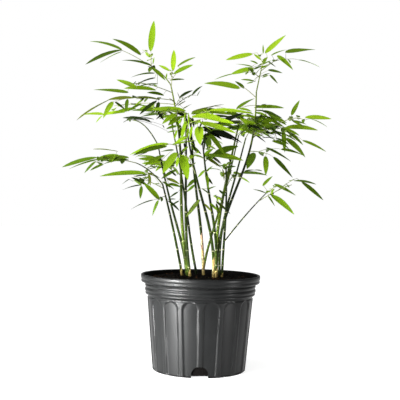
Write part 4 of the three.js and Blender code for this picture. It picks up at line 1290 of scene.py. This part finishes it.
def growInward(tip, mass, bundle, draws):
    # Leaves that point at the eye or away from it, which the photograph shows only end on
    for k in range(inward["count"] if tip["reach"] and mass["twigs"] else 0):
        spot = (inward["last"] - inward["first"]) * (k + next(draws)) / inward["count"]
        root = tip["curve"].point(tip["reach"] * (inward["first"] + spot))
        sign = 1 if (k + int(next(draws) * 2)) % 2 else -1
        towards = (Vector(photograph["eye"]) - root).normalized() * sign
        strayed = Vector((next(draws) - 0.5, 0, next(draws) - 0.6)) * inward["spread"]
        heading = (towards + strayed).normalized()
        face = turned(squareTo(up, heading), heading, inward["turn"] * centred(draws))
        length = mass["blade"] * within(inward["length"], draws)
        leaf = dict(root=root, heading=heading, face=face, length=length, bend=inward["bend"])
        addLeaf(bundle, leaf, greenFor(mass["light"], draws), draws)


def growTwiglet(tip, mass, skin, bundle, draws):
    # A finer twiglet behind the fan of a twig, with its own small leaves
    sign = 1 if next(draws) < 0.5 else -1
    foot = tip["end"] - tip["way"] * (growth["leafStep"] * mass["leaves"] + fine["gap"])
    angle = sign * fine["angle"] * within(fine["angleSpread"], draws)
    way = turned(tip["way"], tip["normal"], angle)
    end = foot + way * fine["length"] * within(fine["lengthSpread"], draws)
    last = fine["tipRadius"] * fine["tip"]
    addTwig(bundle, curveTo(foot, end, fine["rise"]), fine["tipRadius"], last, skin,
            fine["twigletSides"], fine["twigletRings"])
    twiglet = dict(end=end, way=way, normal=tip["normal"], leaves=[])
    blade, sag = mass["blade"] * fine["blade"], mass["sag"] + fine["sag"]
    growFan(twiglet, fine["leaves"], blade, sag, draws)
    return twiglet["leaves"]


def growMass(mass, draws, leafBundle, twigBundle):
    # The twigs are pale in a lit mass and dark in a shaded one: painted light and shade
    pale, olive = mass["light"] > shading["paleTwig"], mass["light"] > shading["oliveTwig"]
    skin = twigKinds.index("pale" if pale else "olive" if olive else "dark")
    stem, *twigs = carriers[mass["name"]]
    addTwig(twigBundle, stem["curve"], fine["stemRadius"], fine["twigRadius"], skin,
            rings=fine["stemRings"])
    for twig in twigs:
        if twig["reach"]:
            addTwig(twigBundle, twig["curve"], fine["twigRadius"] * fine["sideTwig"],
                    fine["tipRadius"], skin, reach=twig["reach"])
    for tip in [stem, *twigs] if mass["kept"] else []:
        leaves = tip["leaves"][:mass["kept"]]
        for k in range(fine["twiglets"] if mass["kept"] > fine["fullFan"] else 0):
            leaves += growTwiglet(tip, mass, skin, twigBundle, draws)
        light = mass["light"] + fine["lightSpread"] * (next(draws) - 0.5)
        for leaf in leaves:
            addLeaf(leafBundle, leaf, greenFor(light, draws), draws)
    for tip in [stem, *twigs]:
        growInward(tip, mass, leafBundle, draws)


def nearestOn(name, foot):
    # The carrier, the share and the place on it that the photograph shows nearest to a leaf's foot
    shares = [i / fine["spots"] for i in range(fine["firstSpot"], fine["spots"] + 1)]
    spots = [(line, share, line["curve"].point(share))
             for line in carriers[name] for share in shares]
    return min(spots, key=lambda spot: (seenAt(*foot, spot[2].y) - spot[2]).length)


def growFine(spray, seed, leafBundle, twigBundle):
    # Twiglets that leave the nearest stem or twig and carry the spray's leaves
    draws = drawsFrom(seed)
    skin = twigKinds.index(twigOf.get(spray["green"], "olive"))
    for footX, footY, tipX, tipY, lean, turn, breadth in spray["leaves"]:
        line, share, near = nearestOn(spray["stem"], (footX, footY))
        line["reach"] = max(line["reach"], share)
        foot = seenAt(footX, footY, near.y)
        span = (seenAt(tipX, tipY, near.y) - foot).length
        bend = within(growth["bend"], draws)
        # A leaf not read as hanging towards the eye leans forward or back by chance
        sway = fine["sway"] * (next(draws) - 0.5) if abs(lean) < fine["knownLean"] else 0
        tip = seenAt(tipX, tipY, near.y + (lean + sway) * span)
        leaf = leafBetween(foot, tip, turn, bend, breadth)
        gap = (foot - near).length
        if gap > fine["touching"]:
            curve = curveTo(near, foot + leaf["heading"] * fine["hold"], fine["lift"] * gap)
            first, last = fine["tipRadius"] * fine["foot"], fine["tipRadius"] * fine["tip"]
            addTwig(twigBundle, curve, first, last, skin, fine["twigletSides"], fine["leafTwigRings"])
        # Some leaves take the next green, brighter or darker, of the four bright ones
        green, drawn = greens.index(spray["green"]), next(draws)
        if green <= greens.index("deep") and drawn > fine["sameGreen"]:
            green = max(0, green + (1 if drawn > fine["darker"] else -1))
        addLeaf(leafBundle, leaf, green, draws)


def makeFoliage():
    twigBundle = Bundle()
    drawsOf = {mass["name"]: layOut(mass, i + 1) for i, mass in enumerate(masses)}
    byName = {mass["name"]: mass for mass in masses}
    count = 0
    for group, names in leafGroups.items():
        leafBundle = Bundle()
        for i, spray in enumerate(sprays):
            # Leaves that grow straight from a cane go with the heart of the crown
            owner = "centre_low" if spray["stem"] in limbs else spray["stem"]
            if owner in names:
                growFine(spray, fine["seed"] + i, leafBundle, twigBundle)
        for name in names:
            growMass(byName[name], drawsOf[name], leafBundle, twigBundle)
        count += len(leafBundle.places)
        nodes = [f"leaves_{name}" for name in names]
        handOver(leafBundle.mesh(group), group, leafSkins.values(), nodes, 50)
    nodes = [f"leaves_{mass['name']}" for mass in masses]
    handOver(twigBundle.mesh("twigs"), "twigs", twigSkins.values(), nodes)
    print("leaves", count)


makeFoliage()
print("foliage made")


# Lamps in metres, watts and degrees. The small ones give the pot its sheen
studio = dict(
    reach=9000, floor=(0.45, 0.45, 0.45), mottle=0.97, glow=0.75, backdrop=1.0, world=0.35,
    sun=dict(aim=(0.25, 0.2, -1), spread=60, power=1.8),
    key=dict(place=(-1.52, -0.8, 0.42), aim=(0, 0, 0.22), size=(1.9, 1.0), power=64),
    potKey=dict(place=(-0.765, -0.73, 0.12), aim=(0, 0, 0.08), size=(0.32, 0.22), power=5.9,
                spread=34),
    potSide=dict(place=(0.95, -0.53, 0.12), aim=(0, 0, 0.08), size=(0.1, 0.22), power=0.45,
                 spread=34),
)


def makeFloor():
    bm = bmesh.new()
    bmesh.ops.create_circle(bm, cap_ends=True, segments=96, radius=studio["reach"])
    mesh = meshFrom(bm, "floor")
    shader = Shader("paleFloor", Roughness=0.6, Emission_Color=white,
                    Emission_Strength=studio["glow"])
    darker = tuple(part * studio["mottle"] for part in studio["floor"])
    shader.feed("Base Color", shader.blend(shader.grain(1.5, 2.0) * 0.2, studio["floor"], darker))
    mesh.materials.append(shader.material)
    floor = bpy.data.objects.new("floor", mesh)
    scene.collection.objects.link(floor)


def makeLight(name):
    cut = studio[name]
    light = bpy.data.lights.new(name, "AREA")
    light.shape = "RECTANGLE"
    light.size, light.size_y = cut["size"]
    light.energy = cut["power"]
    light.spread = math.radians(cut.get("spread", 180))
    lamp = bpy.data.objects.new(name, light)
    lamp.location = cut["place"]
    aim = Vector(cut["aim"]) - Vector(cut["place"])
    lamp.rotation_euler = aim.to_track_quat("-Z", "Y").to_euler()
    lamp.visible_camera = False
    scene.collection.objects.link(lamp)


def makeSun():
    cut = studio["sun"]
    light = bpy.data.lights.new("sun", "SUN")
    light.energy = cut["power"]
    light.angle = math.radians(cut["spread"])
    lamp = bpy.data.objects.new("sun", light)
    lamp.rotation_euler = Vector(cut["aim"]).to_track_quat("-Z", "Y").to_euler()
    scene.collection.objects.link(lamp)


def makeCamera():
    # Level, at the photograph's eye, looking along +Y
    roll = math.radians(photograph["roll"])
    right = Vector((math.cos(roll), 0, math.sin(roll)))
    top = Vector((-math.sin(roll), 0, math.cos(roll)))
    camera = bpy.data.objects.new("camera", bpy.data.cameras.new("camera"))
    camera.data.sensor_width = photograph["sensor"]
    camera.data.lens = photograph["focal"] * photograph["sensor"] / photograph["size"]
    turn = Matrix((right, top, toFront)).transposed().to_4x4()
    camera.matrix_world = Matrix.Translation(Vector(photograph["eye"]) * toMetres) @ turn
    scene.collection.objects.link(camera)
    scene.camera = camera


def makeWorld():
    # A white backdrop that gives a softer light than it shows
    world = bpy.data.worlds.new("studio")
    scene.world = world
    world.use_nodes = True
    nodes = NodeTree(world.node_tree, "World Output")
    lit = nodes.tree.nodes["Background"]
    lit.inputs["Color"].default_value = white
    lit.inputs["Strength"].default_value = studio["world"]
    shown = nodes.node("ShaderNodeBackground", {}, {"Color": white, "Strength": studio["backdrop"]})
    seen = nodes.node("ShaderNodeLightPath", output="Is Camera Ray")
    ways = {"Fac": seen, 1: Value(nodes, lit.outputs["Background"]), 2: shown}
    nodes.feed("Surface", nodes.node("ShaderNodeMixShader", {}, ways))


makeFloor()
makeSun()
for lampName in ("key", "potKey", "potSide"):
    makeLight(lampName)
makeCamera()
makeWorld()
scene.view_settings.view_transform = "Standard"
print("stage made")
